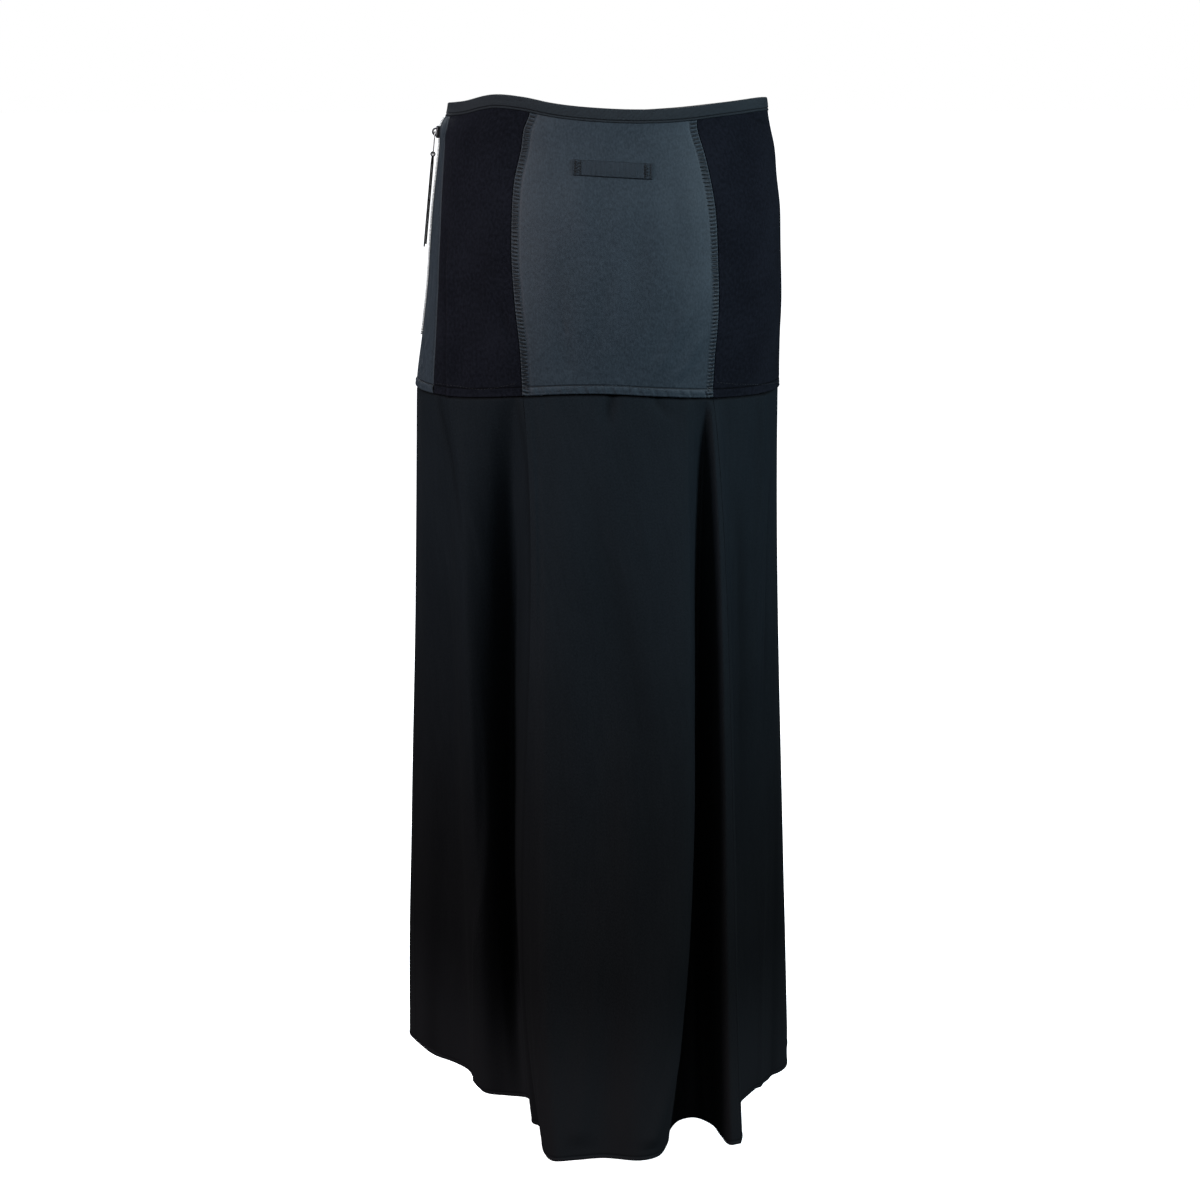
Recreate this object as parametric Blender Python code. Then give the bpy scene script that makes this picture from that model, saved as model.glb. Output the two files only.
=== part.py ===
"""A maxi skirt, hollow as it is worn, with nobody in it.

Metres, +Z up.  The wearer faces -Y, so the back of the skirt faces +Y and the wearer's left side, with
the zip, is +X.  The origin is the middle of the waist opening, level with the top of the waistband.

Every panel is a patch of one of two surfaces.  The yoke surface is a stack of rings round the hips.  The
skirt surface runs from the yoke seam to the hem: each row of the four fold tables is a line down the cloth,
which starts on the lowest ring and ends at its own place on the hem.  Angles are seen from above, from the
wearer's left side (0), by the centre back (90) and the right side (180) to the centre front (270).
"""

import bmesh
import bpy
import numpy as np
from math import atan2, cos, pi, radians, sin
from mathutils import Matrix, Vector

MM = 0.001

# Driving sizes
HEM_DROP = 902 * MM              # waist to hem
BAND_HEIGHT = 12 * MM            # waistband
BAND_WALL = 2.4 * MM
BAND_PROUD = 0.6 * MM            # how far the band stands out past the yoke
JERSEY_WALL = 1.4 * MM
SATIN_WALL = 1.6 * MM
CREPE_WALL = 1.4 * MM
SEAM_GAP = 0.4 * MM              # between two panels, measured along the cloth
LAY_GAP = 0.3 * MM               # under a piece that lies on another

WELT_HEIGHT = 8 * MM             # stitched-down band over the yoke seam, on the satin panels
WELT_RISE = 0.9 * MM
WELT_SLOPE = 0.006               # share of the yoke's depth over which the welt rises

ZIP_TOP = 15.5 * MM              # drop of the zip's top end below the waist
ZIP_LENGTH = 195 * MM
ZIP_SLOT = 4.7 * MM              # half of the opening between the two satin side panels
ZIP_CLOSING = 6 * MM             # below the zip the opening narrows to a seam over this length
TAPE_WIDTH = 11 * MM             # each half of the zip's tape
TAPE_WALL = 1.0 * MM
TAPE_TAIL = 8 * MM               # tape below the last tooth
TAPE_GAP = 0.6 * MM              # between the tape and the satin that lies on it
CHAIN_WIDTH = 4.6 * MM
CHAIN_DEPTH = 3.2 * MM
CHAIN_PROUD = 1.9 * MM
SLIDER_SIZE = Vector((4.9, 8.4, 11.0)) * MM     # out from the cloth, across it, along it
SLIDER_PROUD = 3.4 * MM
SLIDER_ROUND = 1.0 * MM          # how far its edges are rounded
SLIDER_DROP = ZIP_TOP + SLIDER_SIZE.z / 2 + 8.0 * MM    # waist to its middle, the zip all but closed
BRIDGE_RADIUS = 3.0 * MM
BRIDGE_WIRE = 0.9 * MM
PULL_WIRE = 0.65 * MM            # radius of the wire loop's wire
PULL_LOOP = Vector((9.0, 20.0)) * MM            # across and along, between wire centres
PULL_CORNER = 2.2 * MM           # radius of the loop's corners
STRIP_LENGTH = 83 * MM
STRIP_WIDTH = 6.6 * MM
STRIP_WALL = 2.8 * MM
STRIP_EYE = 1.0 * MM             # radius of the hole round the wire
STRIP_SLANT = 2.5 * MM           # its lower end is cut at a slant by this much
PULL_LEAN = radians(5.6)         # the hanging pull follows the hip outward

TAB_WIDTH = 68 * MM
TAB_HEIGHT = 13.5 * MM
TAB_WALL = 1.0 * MM
TAB_DROP = 58 * MM               # waist to the middle of the tab
TAB_ANGLE = 88.5                 # degrees, the middle of the tab
TAB_TILT = radians(3.3)          # the wearer's right end hangs lower

RING_SQUARENESS = 2.15           # 2 is an ellipse; more is fuller at the corners
BULGE = 27 / 4                   # makes share * (1 - share)**2 come to 1 at its height

# Columns that are angles in degrees or plain numbers, and so take no unit of length
UNITLESS = {"angle", "side_back", "centre_left", "centre_right", "right_side", "top", "swing"}


def table(names, rows, unit):
    """Named columns of a small table, as arrays, with lengths in the unit."""
    columns = np.array(rows, dtype=float).T
    return {name: column * (1.0 if name in UNITLESS else unit) for name, column in zip(names.split(), columns)}


# Rings round the body: a ring's middle is moved toward the wearer's left by shift
RINGS = table("drop shift half_width back front", (
    (0, 0, 142.7, 105, 105),
    (13, 0.2, 144.6, 105.8, 106.4),
    (22, 1.8, 147.8, 106.6, 107.6),
    (41, 0.6, 150.8, 109, 110),
    (68, 0.9, 153.7, 114, 113),
    (95, 0.9, 156.9, 119, 115),
    (135, 2, 159.0, 124, 116),
    (162, 2.5, 160.5, 126.5, 117),
    (190, 4, 162.2, 127.5, 117),
    (217, 6.5, 163.2, 127, 117),
    (240, 8, 165.0, 126, 117),
    (262, 9, 166.2, 125, 117),
), MM)

# Height of the waistband's top edge and of the yoke seam round the body
WAIST_LINE = table("angle height", (
    (0, -3), (20, -0.5), (36, 5.6), (47, 3.8), (60, -1.3), (85, -6), (118, -6), (142, -1), (162, 2),
    (182, 1), (205, -3), (235, -10), (270, -13), (305, -10), (335, -5), (360, -3),
), MM)
YOKE_LINE = table("angle height", (
    (0, -257), (34, -258), (58, -254), (72, -252), (91, -252), (108, -254.5), (131, -258), (180, -258),
    (270, -257), (360, -257),
), MM)

# Where the yoke's seams lie on each ring
YOKE_SEAMS = table("drop side_back centre_left centre_right right_side", (
    (12, 8.5, 51.0, 127.1, 168),
    (22, 12.6, 50.2, 127.5, 171),
    (35, 11.3, 49.4, 128.3, 174),
    (65, 12.6, 47.8, 130.4, 177),
    (110, 15.2, 48.6, 131.1, 179),
    (150, 16.2, 50.4, 131.0, 180),
    (180, 17.4, 52.4, 131.0, 180),
    (215, 19.1, 55.3, 131.2, 180),
    (258, 20.6, 57.1, 131.5, 180),
), MM)

# Lines down the skirt: angle on the yoke seam, place on the hem, and how they get there.  A swing of 1 is a
# straight line, more keeps it back until the hem; upper and lower are bulges toward the wearer's left, one
# and two thirds of the way down.
FOLD_COLUMNS = "top hem_x hem_y swing upper lower hollow"
LEFT_FOLDS = table(FOLD_COLUMNS, (
    (0.0, 183, -46, 1.0, 0, 2, 0),
    (13.0, 166, -6, 1.0, 0, 2, 0),
    (21.0, 147, 16, 1.0, 0, 0, 0),
    (27.0, 134, 38, 1.3, 0, 0, 3),
    (30.5, 128, 72, 1.6, 0, 0, -7),
    (35.0, 119, 99, 1.6, 0, 0, -6),
    (44.0, 99, 107, 1.6, -2, 4, 12),
    (51.5, 82, 114, 2.0, -5, 6, 40),
    (53.8, 78, 146, 3.0, -7, 7, 26),
    (55.5, 80, 177, 4.0, -8, 9, 0),
    (57.1, 74, 186, 5.0, -8, 10, -18),
), MM)
CENTRE_FOLDS = table(FOLD_COLUMNS, (
    (57.1, 74, 186, 5.0, -8, 10, -18),
    (59.0, 74, 214, 4.0, -8, 10, -12),
    (61.0, 73, 248, 4.0, -7, 9, -1),
    (64.0, 66, 266, 3.0, -5, 7, 3),
    (72.0, 47, 265, 2.0, -2, 2, 1),
    (86.0, 22, 262, 1.5, 0, 0, 0),
    (104.0, -9, 270, 1.2, 0, 0, 0),
    (118.5, -25, 262, 1.4, 0, -14, -2),
    (123.0, -36, 234, 1.5, 0, -11, 2),
    (125.4, -42, 200, 1.5, 0, -6, 14),
    (127.1, -53, 178, 1.3, 0, 0, 26),
    (128.4, -66, 173, 1.0, 0, 0, 30),
    (129.3, -80, 191, 0.8, -2, 0, 16),
    (130.0, -85, 217, 0.7, -3, 1, 4),
    (130.7, -91, 240, 0.6, -3.5, 1, -2),
    (131.5, -101, 237, 0.6, -3.5, 1, 0),
), MM)
RIGHT_FOLDS = table(FOLD_COLUMNS, (
    (131.5, -101, 237, 0.6, -3.5, 1, 0),
    (132.8, -104, 222, 0.6, -3.5, 1, 3),
    (134.0, -106, 186, 0.7, -3, 1, 8),
    (136.0, -110, 146, 0.8, -2, 1, 8),
    (141.5, -127, 111, 1.0, 0, 0, 0),
    (149.0, -148, 78, 1.0, 0, 0, 0),
    (160.0, -166, 50, 1.0, 2, 0, 0),
    (180.0, -171, 14, 1.0, 3, -1, 0),
), MM)
FRONT_FOLDS = table(FOLD_COLUMNS, (
    (180, -171, 14, 1, 3, -1, 0),
    (192, -177, -30, 1, 3, -1, 0),
    (204, -168, -74, 1, 0, 0, 0),
    (218, -156, -117, 1, 0, 0, 0),
    (232, -113, -134, 1, 0, 0, 0),
    (247, -76, -166, 1, 0, 0, 0),
    (262, -26, -160, 1, 0, 0, 0),
    (276, 20, -175, 1, 0, 0, 0),
    (291, 68, -160, 1, 0, 0, 0),
    (306, 113, -158, 1, 0, 0, 0),
    (321, 146, -122, 1, 0, 0, 0),
    (335, 180, -100, 1, 0, 0, 0),
    (348, 189, -70, 1, 0, 2, 0),
    (360, 183, -46, 1, 0, 2, 0),
), MM)

# Grid sizes of the panels: lines down and points across
# Shares of the zip's length at which the yoke and the tapes have rows, closer where the hip flares out
ZIP_ROWS = np.array((0.0, 0.035, 0.08, 0.16, 0.28, 0.43, 0.61, 0.80, 1.0))
SKIRT_STEPS = 12
LEFT_STEPS, CENTRE_STEPS, RIGHT_STEPS, FRONT_STEPS = 28, 42, 20, 36
BAND_STEPS = 56

MATERIALS = {
    "black_jersey": ((0.009, 0.010, 0.014), 0.85, 0.0),
    "black_satin": ((0.030, 0.042, 0.055), 0.35, 0.0),
    "black_crepe": ((0.010, 0.011, 0.014), 0.75, 0.0),
    "band_ribbon": ((0.018, 0.024, 0.030), 0.60, 0.0),
    "zip_tape": ((0.010, 0.010, 0.011), 0.85, 0.0),
    "zip_metal": ((0.62, 0.62, 0.60), 0.28, 1.0),
    "pull_leather": ((0.010, 0.010, 0.011), 0.45, 0.0),
}


def smooth(at, knots, values, cyclic=False):
    """Cubic curve through the knots with centred slopes; values may have one row or many columns."""
    values = np.asarray(values, dtype=float)
    at = np.asarray(at, dtype=float)
    slopes = np.gradient(values, knots, axis=0)
    if cyclic:
        wrap = (values[1] - values[-2]) / (knots[1] - knots[0] + knots[-1] - knots[-2])
        slopes[0] = slopes[-1] = wrap
    cell = np.clip(np.searchsorted(knots, at, side="right") - 1, 0, len(knots) - 2)
    width = knots[cell + 1] - knots[cell]
    t = np.clip((at - knots[cell]) / width, 0.0, 1.0)
    if values.ndim > 1:
        t = t[..., None]
        width = width[..., None]
    return ((2 * t**3 - 3 * t**2 + 1) * values[cell] + (t**3 - 2 * t**2 + t) * width * slopes[cell]
            + (3 * t**2 - 2 * t**3) * values[cell + 1] + (t**3 - t**2) * width * slopes[cell + 1])


def ring_point(angle, drop):
    """Points x, y of the body's ring at a drop below the waist, at angles in degrees."""
    shift, half_width, back, front = (
        smooth(drop, RINGS["drop"], RINGS[name]) for name in ("shift", "half_width", "back", "front"))
    turn = np.radians(angle)
    depth = np.where(np.sin(turn) >= 0, back, front)
    radius = ((np.abs(np.cos(turn)) / half_width)**RING_SQUARENESS
              + (np.abs(np.sin(turn)) / depth)**RING_SQUARENESS)**(-1 / RING_SQUARENESS)
    return shift + radius * np.cos(turn), radius * np.sin(turn)


def line_height(line, angle):
    return smooth(np.mod(angle, 360.0), line["angle"], line["height"], cyclic=True)


def body_point(angle, height):
    """Point on the body's surface at an angle and a height (negative below the waist)."""
    x, y = ring_point(angle, -height)
    return np.stack((x, y, height + 0.0 * x), axis=-1)


def gap_angle(height, distance, angle=0.0):
    """Degrees that a distance along the cloth takes up at an angle."""
    step = 0.5
    reach = np.linalg.norm(body_point(angle + step, height) - body_point(angle - step, height), axis=-1)
    return distance / reach * 2 * step


def seam_angle(name, height):
    return smooth(-height, YOKE_SEAMS["drop"], YOKE_SEAMS[name])


def outward(points):
    """Unit normals of a grid of points whose rows run down and whose columns run with the angle."""
    down = np.gradient(points, axis=0)
    across = np.gradient(points, axis=1)
    normal = np.cross(down, across)
    return normal / np.linalg.norm(normal, axis=-1, keepdims=True)


def level_rims(normal):
    """The first and last row of normals made level, so that both rims of a wall are level cuts."""
    for row in (0, -1):
        normal[row, :, 2] = 0.0
        normal[row] /= np.linalg.norm(normal[row], axis=-1, keepdims=True)
    return normal


def new_object(name, mesh, material):
    mesh.materials.append(bpy.data.materials[material])
    made = bpy.data.objects.new(name, mesh)
    SKIRT.objects.link(made)
    return made


def wall(name, outer, inner, material):
    """Closed wall between an outer and an inner grid of points."""
    rows, columns = outer.shape[:2]
    points = np.concatenate((outer.reshape(-1, 3), inner.reshape(-1, 3)))
    number = np.arange(rows * columns).reshape(rows, columns)
    faces = []

    def sheet(grid):
        return np.stack((grid[:-1, :-1], grid[1:, :-1], grid[1:, 1:], grid[:-1, 1:]), axis=-1).reshape(-1, 4)

    def rim(edge):
        return np.stack((edge[:-1], edge[1:], edge[1:] + rows * columns, edge[:-1] + rows * columns), axis=-1)

    faces.append(sheet(number))
    faces.append(sheet(number)[:, ::-1] + rows * columns)
    faces.append(rim(number[0]))
    faces.append(rim(number[-1])[:, ::-1])
    faces.append(rim(number[:, 0])[:, ::-1])
    faces.append(rim(number[:, -1]))
    mesh = bpy.data.meshes.new(name)
    mesh.from_pydata(points.tolist(), [], np.concatenate(faces).tolist())
    mesh.shade_smooth()
    mesh.set_sharp_from_angle(angle=radians(50))
    return new_object(name, mesh, material)


def panel(name, points, thickness, material, rise=None, normal=None):
    """Wall of cloth whose face is the given grid; rise lifts its outer points only."""
    normal = level_rims(outward(points)) if normal is None else normal
    face = points if rise is None else points + rise[..., None] * normal
    return wall(name, face, points - thickness * normal, material)


# The yoke and the waistband

def yoke_grid(from_angle, to_angle, columns, welted=False):
    """Grid on the yoke surface, from under the waistband to the yoke seam.

    from_angle and to_angle take a height and give degrees.  Each panel has lines where the zip ends and
    where the welt starts, so that neighbours meet line by line; a welted panel's outer points rise there.
    """
    yoke_depth = -line_height(YOKE_LINE, 0.0) - BAND_HEIGHT
    zip_end = (ZIP_TOP + ZIP_LENGTH - BAND_HEIGHT) / yoke_depth
    welt = 1.0 - WELT_HEIGHT / yoke_depth
    raised = (welt + WELT_SLOPE, 1.0 - WELT_SLOPE / 1.5) if welted else ()
    closed = zip_end + 1.6 * ZIP_CLOSING / yoke_depth
    share = np.concatenate((zip_end * ZIP_ROWS, (closed, welt), raised, (1.0,)))
    across = np.linspace(0.0, 1.0, columns + 1)
    middle = -yoke_depth / 2
    angle = from_angle(middle) + (to_angle(middle) - from_angle(middle)) * across[None, :] + 0 * share[:, None]
    for _ in range(4):
        top = line_height(WAIST_LINE, angle) - BAND_HEIGHT - LAY_GAP / 2
        bottom = line_height(YOKE_LINE, angle) + LAY_GAP / 2
        height = top + (bottom - top) * share[:, None]
        start, stop = from_angle(height), to_angle(height)
        angle = start + (stop - start) * across[None, :]
    grid = body_point(angle, height)
    rise = None
    if welted:
        rise = np.repeat(np.where((share > welt) & (share < 1.0), WELT_RISE, 0.0)[:, None], columns + 1, axis=1)
    return grid, rise


def beside(name, sign):
    """Edge of a yoke panel: the seam's angle, moved by half a gap to one side."""
    def edge(height):
        angle = seam_angle(name, height)
        return angle + sign * gap_angle(height, SEAM_GAP / 2, angle)
    return edge


def zip_edge(sign):
    """Edge of a side panel along the zip, closing to a seam below the zip's end."""
    def edge(height):
        below = np.clip((-height - ZIP_TOP - ZIP_LENGTH - ZIP_CLOSING / 2) / ZIP_CLOSING, 0.0, 1.0)
        half = ZIP_SLOT + (SEAM_GAP / 2 - ZIP_SLOT) * below
        return sign * gap_angle(height, half)
    return edge


def mirrored(edge):
    return lambda height: 360.0 - edge(height)


def full_turn(edge):
    return lambda height: 360.0 + edge(height)


def build_yoke():
    grid, rise = yoke_grid(beside("centre_left", 1), beside("centre_right", -1), 16, welted=True)
    panel("yoke_back_centre", grid, SATIN_WALL, "black_satin", rise)
    grid, rise = yoke_grid(zip_edge(1), beside("side_back", -1), 6, welted=True)
    panel("side_panel_back", grid, SATIN_WALL, "black_satin", rise)
    grid, rise = yoke_grid(mirrored(beside("side_back", -1)), full_turn(zip_edge(-1)), 6, welted=True)
    panel("side_panel_front", grid, SATIN_WALL, "black_satin", rise)
    grid, _ = yoke_grid(beside("side_back", 1), beside("centre_left", -1), 12)
    panel("yoke_back_left", grid, JERSEY_WALL, "black_jersey")
    grid, _ = yoke_grid(beside("centre_right", 1), beside("right_side", -1), 10)
    panel("yoke_back_right", grid, JERSEY_WALL, "black_jersey")
    grid, _ = yoke_grid(beside("right_side", 1), mirrored(beside("side_back", 1)), 28)
    panel("yoke_front", grid, JERSEY_WALL, "black_jersey")


def build_waistband():
    """One ribbon round the waist, butted above the zip."""
    end = gap_angle(0.0, SEAM_GAP / 2)
    angle = np.linspace(end, 360.0 - end, BAND_STEPS + 1)
    share = np.linspace(0.0, 1.0, 3)[:, None]
    top = line_height(WAIST_LINE, angle)[None, :]
    height = top - (BAND_HEIGHT - LAY_GAP / 2) * share
    grid = body_point(angle[None, :] + 0 * share, height)
    normal = level_rims(outward(grid))
    wall("waistband", grid + BAND_PROUD * normal, grid + (BAND_PROUD - BAND_WALL) * normal, "band_ribbon")


def build_tab():
    """Plain strip stitched across the top of the satin back panel, made from the panel's own points."""
    across = np.linspace(-0.5, 0.5, 9)[None, :]
    along = np.linspace(-0.5, 0.5, 3)[:, None]
    lean = across * TAB_WIDTH * sin(TAB_TILT)
    height = -TAB_DROP - along * TAB_HEIGHT - lean
    angle = TAB_ANGLE + gap_angle(height, across * TAB_WIDTH, TAB_ANGLE)
    grid = body_point(angle, height)
    normal = outward(grid)
    wall("back_tab", grid + (LAY_GAP + TAB_WALL) * normal, grid + LAY_GAP * normal, "band_ribbon")


# The skirt below the yoke

def fold_rows(folds, share):
    """Places of a panel's fold lines at each share of the way from the yoke seam to the hem.

    Each line's foot is approached as share**swing sideways and evenly in depth. Each bulge is 1 at its own
    third, the hollow toward the front is 1 halfway, and all are 0 at both ends.
    """
    share = share[:, None]
    top_height = line_height(YOKE_LINE, folds["top"])
    top_x, top_y = ring_point(folds["top"], -top_height)
    upper = folds["upper"] * BULGE * share * (1 - share)**2
    lower = folds["lower"] * BULGE * share**2 * (1 - share)
    x = top_x + (folds["hem_x"] - top_x) * share**folds["swing"] + upper + lower
    y = top_y + (folds["hem_y"] - top_y) * share - folds["hollow"] * 4 * share * (1 - share)
    height = top_height - LAY_GAP / 2 + (-HEM_DROP - top_height + LAY_GAP / 2) * share
    return np.stack((x, y, height), axis=-1)


def skirt_grid(folds, columns):
    """Grid through the fold lines, evenly spaced along the hem's curve."""
    share = np.linspace(0.0, 1.0, SKIRT_STEPS + 1)
    rows = fold_rows(folds, share)
    chord = np.linalg.norm(np.diff(rows[-1, :, :2], axis=0), axis=1)**0.5
    knots = np.concatenate(((0.0,), np.cumsum(chord)))
    across = np.linspace(0.0, knots[-1], columns + 1)
    return np.stack([smooth(across, knots, row) for row in rows])


def mitred(normals):
    """Normals of panels that follow each other round the skirt, shared along the seams between them.

    A shared normal is as long as it takes to keep both walls at their full thickness.
    """
    for index, left in enumerate(normals):
        right = normals[(index + 1) % len(normals)]
        shared = left[:, -1] + right[:, 0]
        shared /= np.linalg.norm(shared, axis=-1, keepdims=True)
        stretch = 1.0 / np.clip(np.sum(shared * left[:, -1], axis=-1, keepdims=True), 0.6, 1.0)
        left[:, -1] = shared * stretch
        right[:, 0] = shared * stretch
    return normals


def parted(points):
    """A panel's grid with its first and last column drawn back by half of the seam gap."""
    points = points.copy()
    for edge, inner in ((0, 1), (-1, -2)):
        inward = points[:, inner] - points[:, edge]
        inward /= np.linalg.norm(inward, axis=-1, keepdims=True)
        points[:, edge] += inward * SEAM_GAP / 2
    return points


def build_skirt():
    panels = (
        ("lower_back_left", LEFT_FOLDS, LEFT_STEPS),
        ("lower_back_centre", CENTRE_FOLDS, CENTRE_STEPS),
        ("lower_back_right", RIGHT_FOLDS, RIGHT_STEPS),
        ("lower_front", FRONT_FOLDS, FRONT_STEPS),
    )
    grids = [skirt_grid(folds, columns) for _, folds, columns in panels]
    normals = mitred([level_rims(outward(grid)) for grid in grids])
    for (name, _, _), grid, normal in zip(panels, grids, normals):
        panel(name, parted(grid), CREPE_WALL, "black_crepe", normal=normal)


# The zip and its pull

def zip_frame(drop):
    """Matrix on the zip line: X out from the cloth, Y across it, Z up along it."""
    step = 2 * MM
    here, above, below = (Vector(body_point(0.0, -drop + d)) for d in (0.0, step, -step))
    up = (above - below).normalized()
    across = Vector((0.0, 1.0, 0.0))
    out = across.cross(up).normalized()
    frame = Matrix((out, across, up)).transposed().to_4x4()
    frame.translation = here
    return frame


def zip_strip(name, drops, sideways, outer, inner, material):
    """Strip along the zip line, between two distances across the cloth and two out from it."""
    height = -np.asarray(drops)[:, None]
    distance = np.asarray(sideways)[None, :]
    angle = gap_angle(height, distance)
    grid = body_point(angle, height + 0 * distance)
    normal = level_rims(outward(grid))
    wall(name, grid + outer * normal, grid + inner * normal, material)


def build_zip():
    zip_end = ZIP_TOP + ZIP_LENGTH
    tape_drops = np.append(ZIP_TOP + ZIP_LENGTH * ZIP_ROWS, zip_end + TAPE_TAIL)
    tape_top = -SATIN_WALL - TAPE_GAP
    for name, sign in (("zip_tape_back", 1), ("zip_tape_front", -1)):
        edges = sorted((sign * LAY_GAP / 2, sign * TAPE_WIDTH))
        zip_strip(name, tape_drops, edges, tape_top, tape_top - TAPE_WALL, "zip_tape")
    chain_drops = np.linspace(SLIDER_DROP + SLIDER_SIZE.z / 2 + LAY_GAP, zip_end, 11)
    half = CHAIN_WIDTH / 2
    zip_strip("zip_chain", chain_drops, (-half, half), CHAIN_PROUD, CHAIN_PROUD - CHAIN_DEPTH, "zip_metal")


def cut_or_join(target, tool, operation):
    """Apply a Boolean and drop its tool."""
    modifier = target.modifiers.new(operation.lower(), "BOOLEAN")
    modifier.operation = operation
    modifier.object = tool
    bpy.context.view_layer.update()
    mesh = bpy.data.meshes.new_from_object(target.evaluated_get(bpy.context.evaluated_depsgraph_get()))
    target.modifiers.clear()
    target.data = mesh
    bpy.data.objects.remove(tool)


def build_slider():
    """Slider body with a round bridge, in which the wire loop hangs."""
    frame = zip_frame(SLIDER_DROP)
    bpy.ops.mesh.primitive_cube_add(size=1.0)
    slider = bpy.context.object
    slider.name = "zip_slider"
    slider.data.transform(Matrix.Diagonal(SLIDER_SIZE.to_4d()))
    slider.data.transform(Matrix.Translation((SLIDER_PROUD - SLIDER_SIZE.x / 2, 0, 0)))
    shape = bmesh.new()
    shape.from_mesh(slider.data)
    bmesh.ops.bevel(shape, geom=shape.edges[:], offset=SLIDER_ROUND, segments=2, profile=0.5, affect="EDGES")
    shape.to_mesh(slider.data)
    shape.free()
    bpy.ops.mesh.primitive_torus_add(
        major_radius=BRIDGE_RADIUS, minor_radius=BRIDGE_WIRE, major_segments=20, minor_segments=8)
    bridge = bpy.context.object
    bridge.data.transform(Matrix.Translation((SLIDER_PROUD, 0, 0)) @ Matrix.Rotation(pi / 2, 4, "X"))
    cut_or_join(slider, bridge, "UNION")
    slider.matrix_world = frame
    slider.data.materials.clear()
    slider.data.materials.append(bpy.data.materials["zip_metal"])
    slider.data.shade_smooth()
    slider.data.set_sharp_from_angle(angle=radians(40))
    move_to_skirt(slider)


def move_to_skirt(thing):
    for collection in list(thing.users_collection):
        collection.objects.unlink(thing)
    SKIRT.objects.link(thing)


def pull_hinge():
    """Middle of the bridge's eye, where the wire loop turns."""
    clear = (BRIDGE_RADIUS - BRIDGE_WIRE) / 2
    return zip_frame(SLIDER_DROP) @ Vector((SLIDER_PROUD + clear, 0, 0))


def build_pull():
    """Wire loop and folded strip on one empty, which stands on the hinge axis."""
    hinge = bpy.data.objects.new("pull_hinge", None)
    hinge.location = pull_hinge()
    hinge.rotation_euler = (0.0, -PULL_LEAN, 0.0)
    hinge.empty_display_size = 10 * MM
    SKIRT.objects.link(hinge)

    side = PULL_LOOP.x / 2 - PULL_CORNER
    low = PULL_CORNER - PULL_LOOP.y
    points = []
    for middle_y, middle_z, start in ((side, -PULL_CORNER, 90), (side, low, 0), (-side, low, -90),
                                      (-side, -PULL_CORNER, -180)):
        for turn in np.radians(start - np.linspace(0.0, 90.0, 5)):
            points.append((0.0, middle_y + PULL_CORNER * cos(turn), middle_z + PULL_CORNER * sin(turn)))
    curve = bpy.data.curves.new("zip_pull_wire", "CURVE")
    curve.dimensions = "3D"
    curve.bevel_depth = PULL_WIRE
    curve.bevel_resolution = 2
    curve.resolution_u = 1
    curve.render_resolution_u = 0
    loop = curve.splines.new("POLY")
    loop.points.add(len(points) - 1)
    for point, place in zip(loop.points, points):
        point.co = (*place, 1.0)
    loop.use_cyclic_u = True
    wire = bpy.data.objects.new("zip_pull_wire", curve)
    curve.materials.append(bpy.data.materials["zip_metal"])
    wire.parent = hinge
    SKIRT.objects.link(wire)

    eye_radius = STRIP_EYE + STRIP_WALL / 2
    outline = bpy.data.curves.new("zip_pull_strip", "CURVE")
    outline.dimensions = "2D"
    outline.fill_mode = "BOTH"
    outline.extrude = STRIP_WIDTH / 2
    outline.resolution_u = 1
    outline.render_resolution_u = 0
    neck = atan2(STRIP_WALL / 2, eye_radius)
    around = np.linspace(neck, 2 * pi - neck, 15)
    round_eye = [(eye_radius * cos(turn), eye_radius * sin(turn)) for turn in around]
    tail = [(STRIP_LENGTH - STRIP_SLANT, -STRIP_WALL / 2), (STRIP_LENGTH, STRIP_WALL / 2)]
    hole = [(STRIP_EYE * cos(turn), STRIP_EYE * sin(turn)) for turn in np.linspace(0, 2 * pi, 12, endpoint=False)]
    for places in (round_eye + tail, hole[::-1]):
        spline = outline.splines.new("POLY")
        spline.points.add(len(places) - 1)
        for point, place in zip(spline.points, places):
            point.co = (*place, 0.0, 1.0)
        spline.use_cyclic_u = True
    outline.materials.append(bpy.data.materials["pull_leather"])
    strip = bpy.data.objects.new("zip_pull_strip", outline)
    strip.location = (0.0, 0.0, -PULL_LOOP.y)
    strip.rotation_euler = (-pi / 2, pi / 2, 0.0)
    strip.parent = hinge
    SKIRT.objects.link(strip)


def make_materials():
    for name, (colour, roughness, metallic) in MATERIALS.items():
        material = bpy.data.materials.new(name)
        material.use_nodes = True
        shader = material.node_tree.nodes["Principled BSDF"]
        shader.inputs["Base Color"].default_value = (*colour, 1.0)
        shader.inputs["Roughness"].default_value = roughness
        shader.inputs["Metallic"].default_value = metallic


for leftover in list(bpy.data.objects):
    bpy.data.objects.remove(leftover)
SKIRT = bpy.data.collections.new("maxi_skirt")
bpy.context.scene.collection.children.link(SKIRT)
make_materials()
build_waistband()
build_yoke()
build_tab()
build_skirt()
build_zip()
build_slider()
build_pull()
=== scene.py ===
"""A maxi skirt, hollow as it is worn: the cloth, seams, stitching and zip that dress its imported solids.

Metres, +Z up.  The wearer faces -Y, so the back of the skirt faces +Y and the wearer's left side, with
the zip, is +X.  The cloth panels repeat the two surfaces of the solids on finer grids: rings round the hips
for the yoke, and fold lines from the yoke seam to the hem for the skirt.  Angles are seen from above, from
the wearer's left side (0), by the centre back (90) and the right side (180) to the centre front (270).
A place on a panel is given on its own flat: across from its middle toward the wearer's right, and down from
its top edge, in millimetres.
"""

from math import atan2, cos, pi, radians, sin

import bpy
import numpy as np
from mathutils import Matrix, Vector


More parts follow.
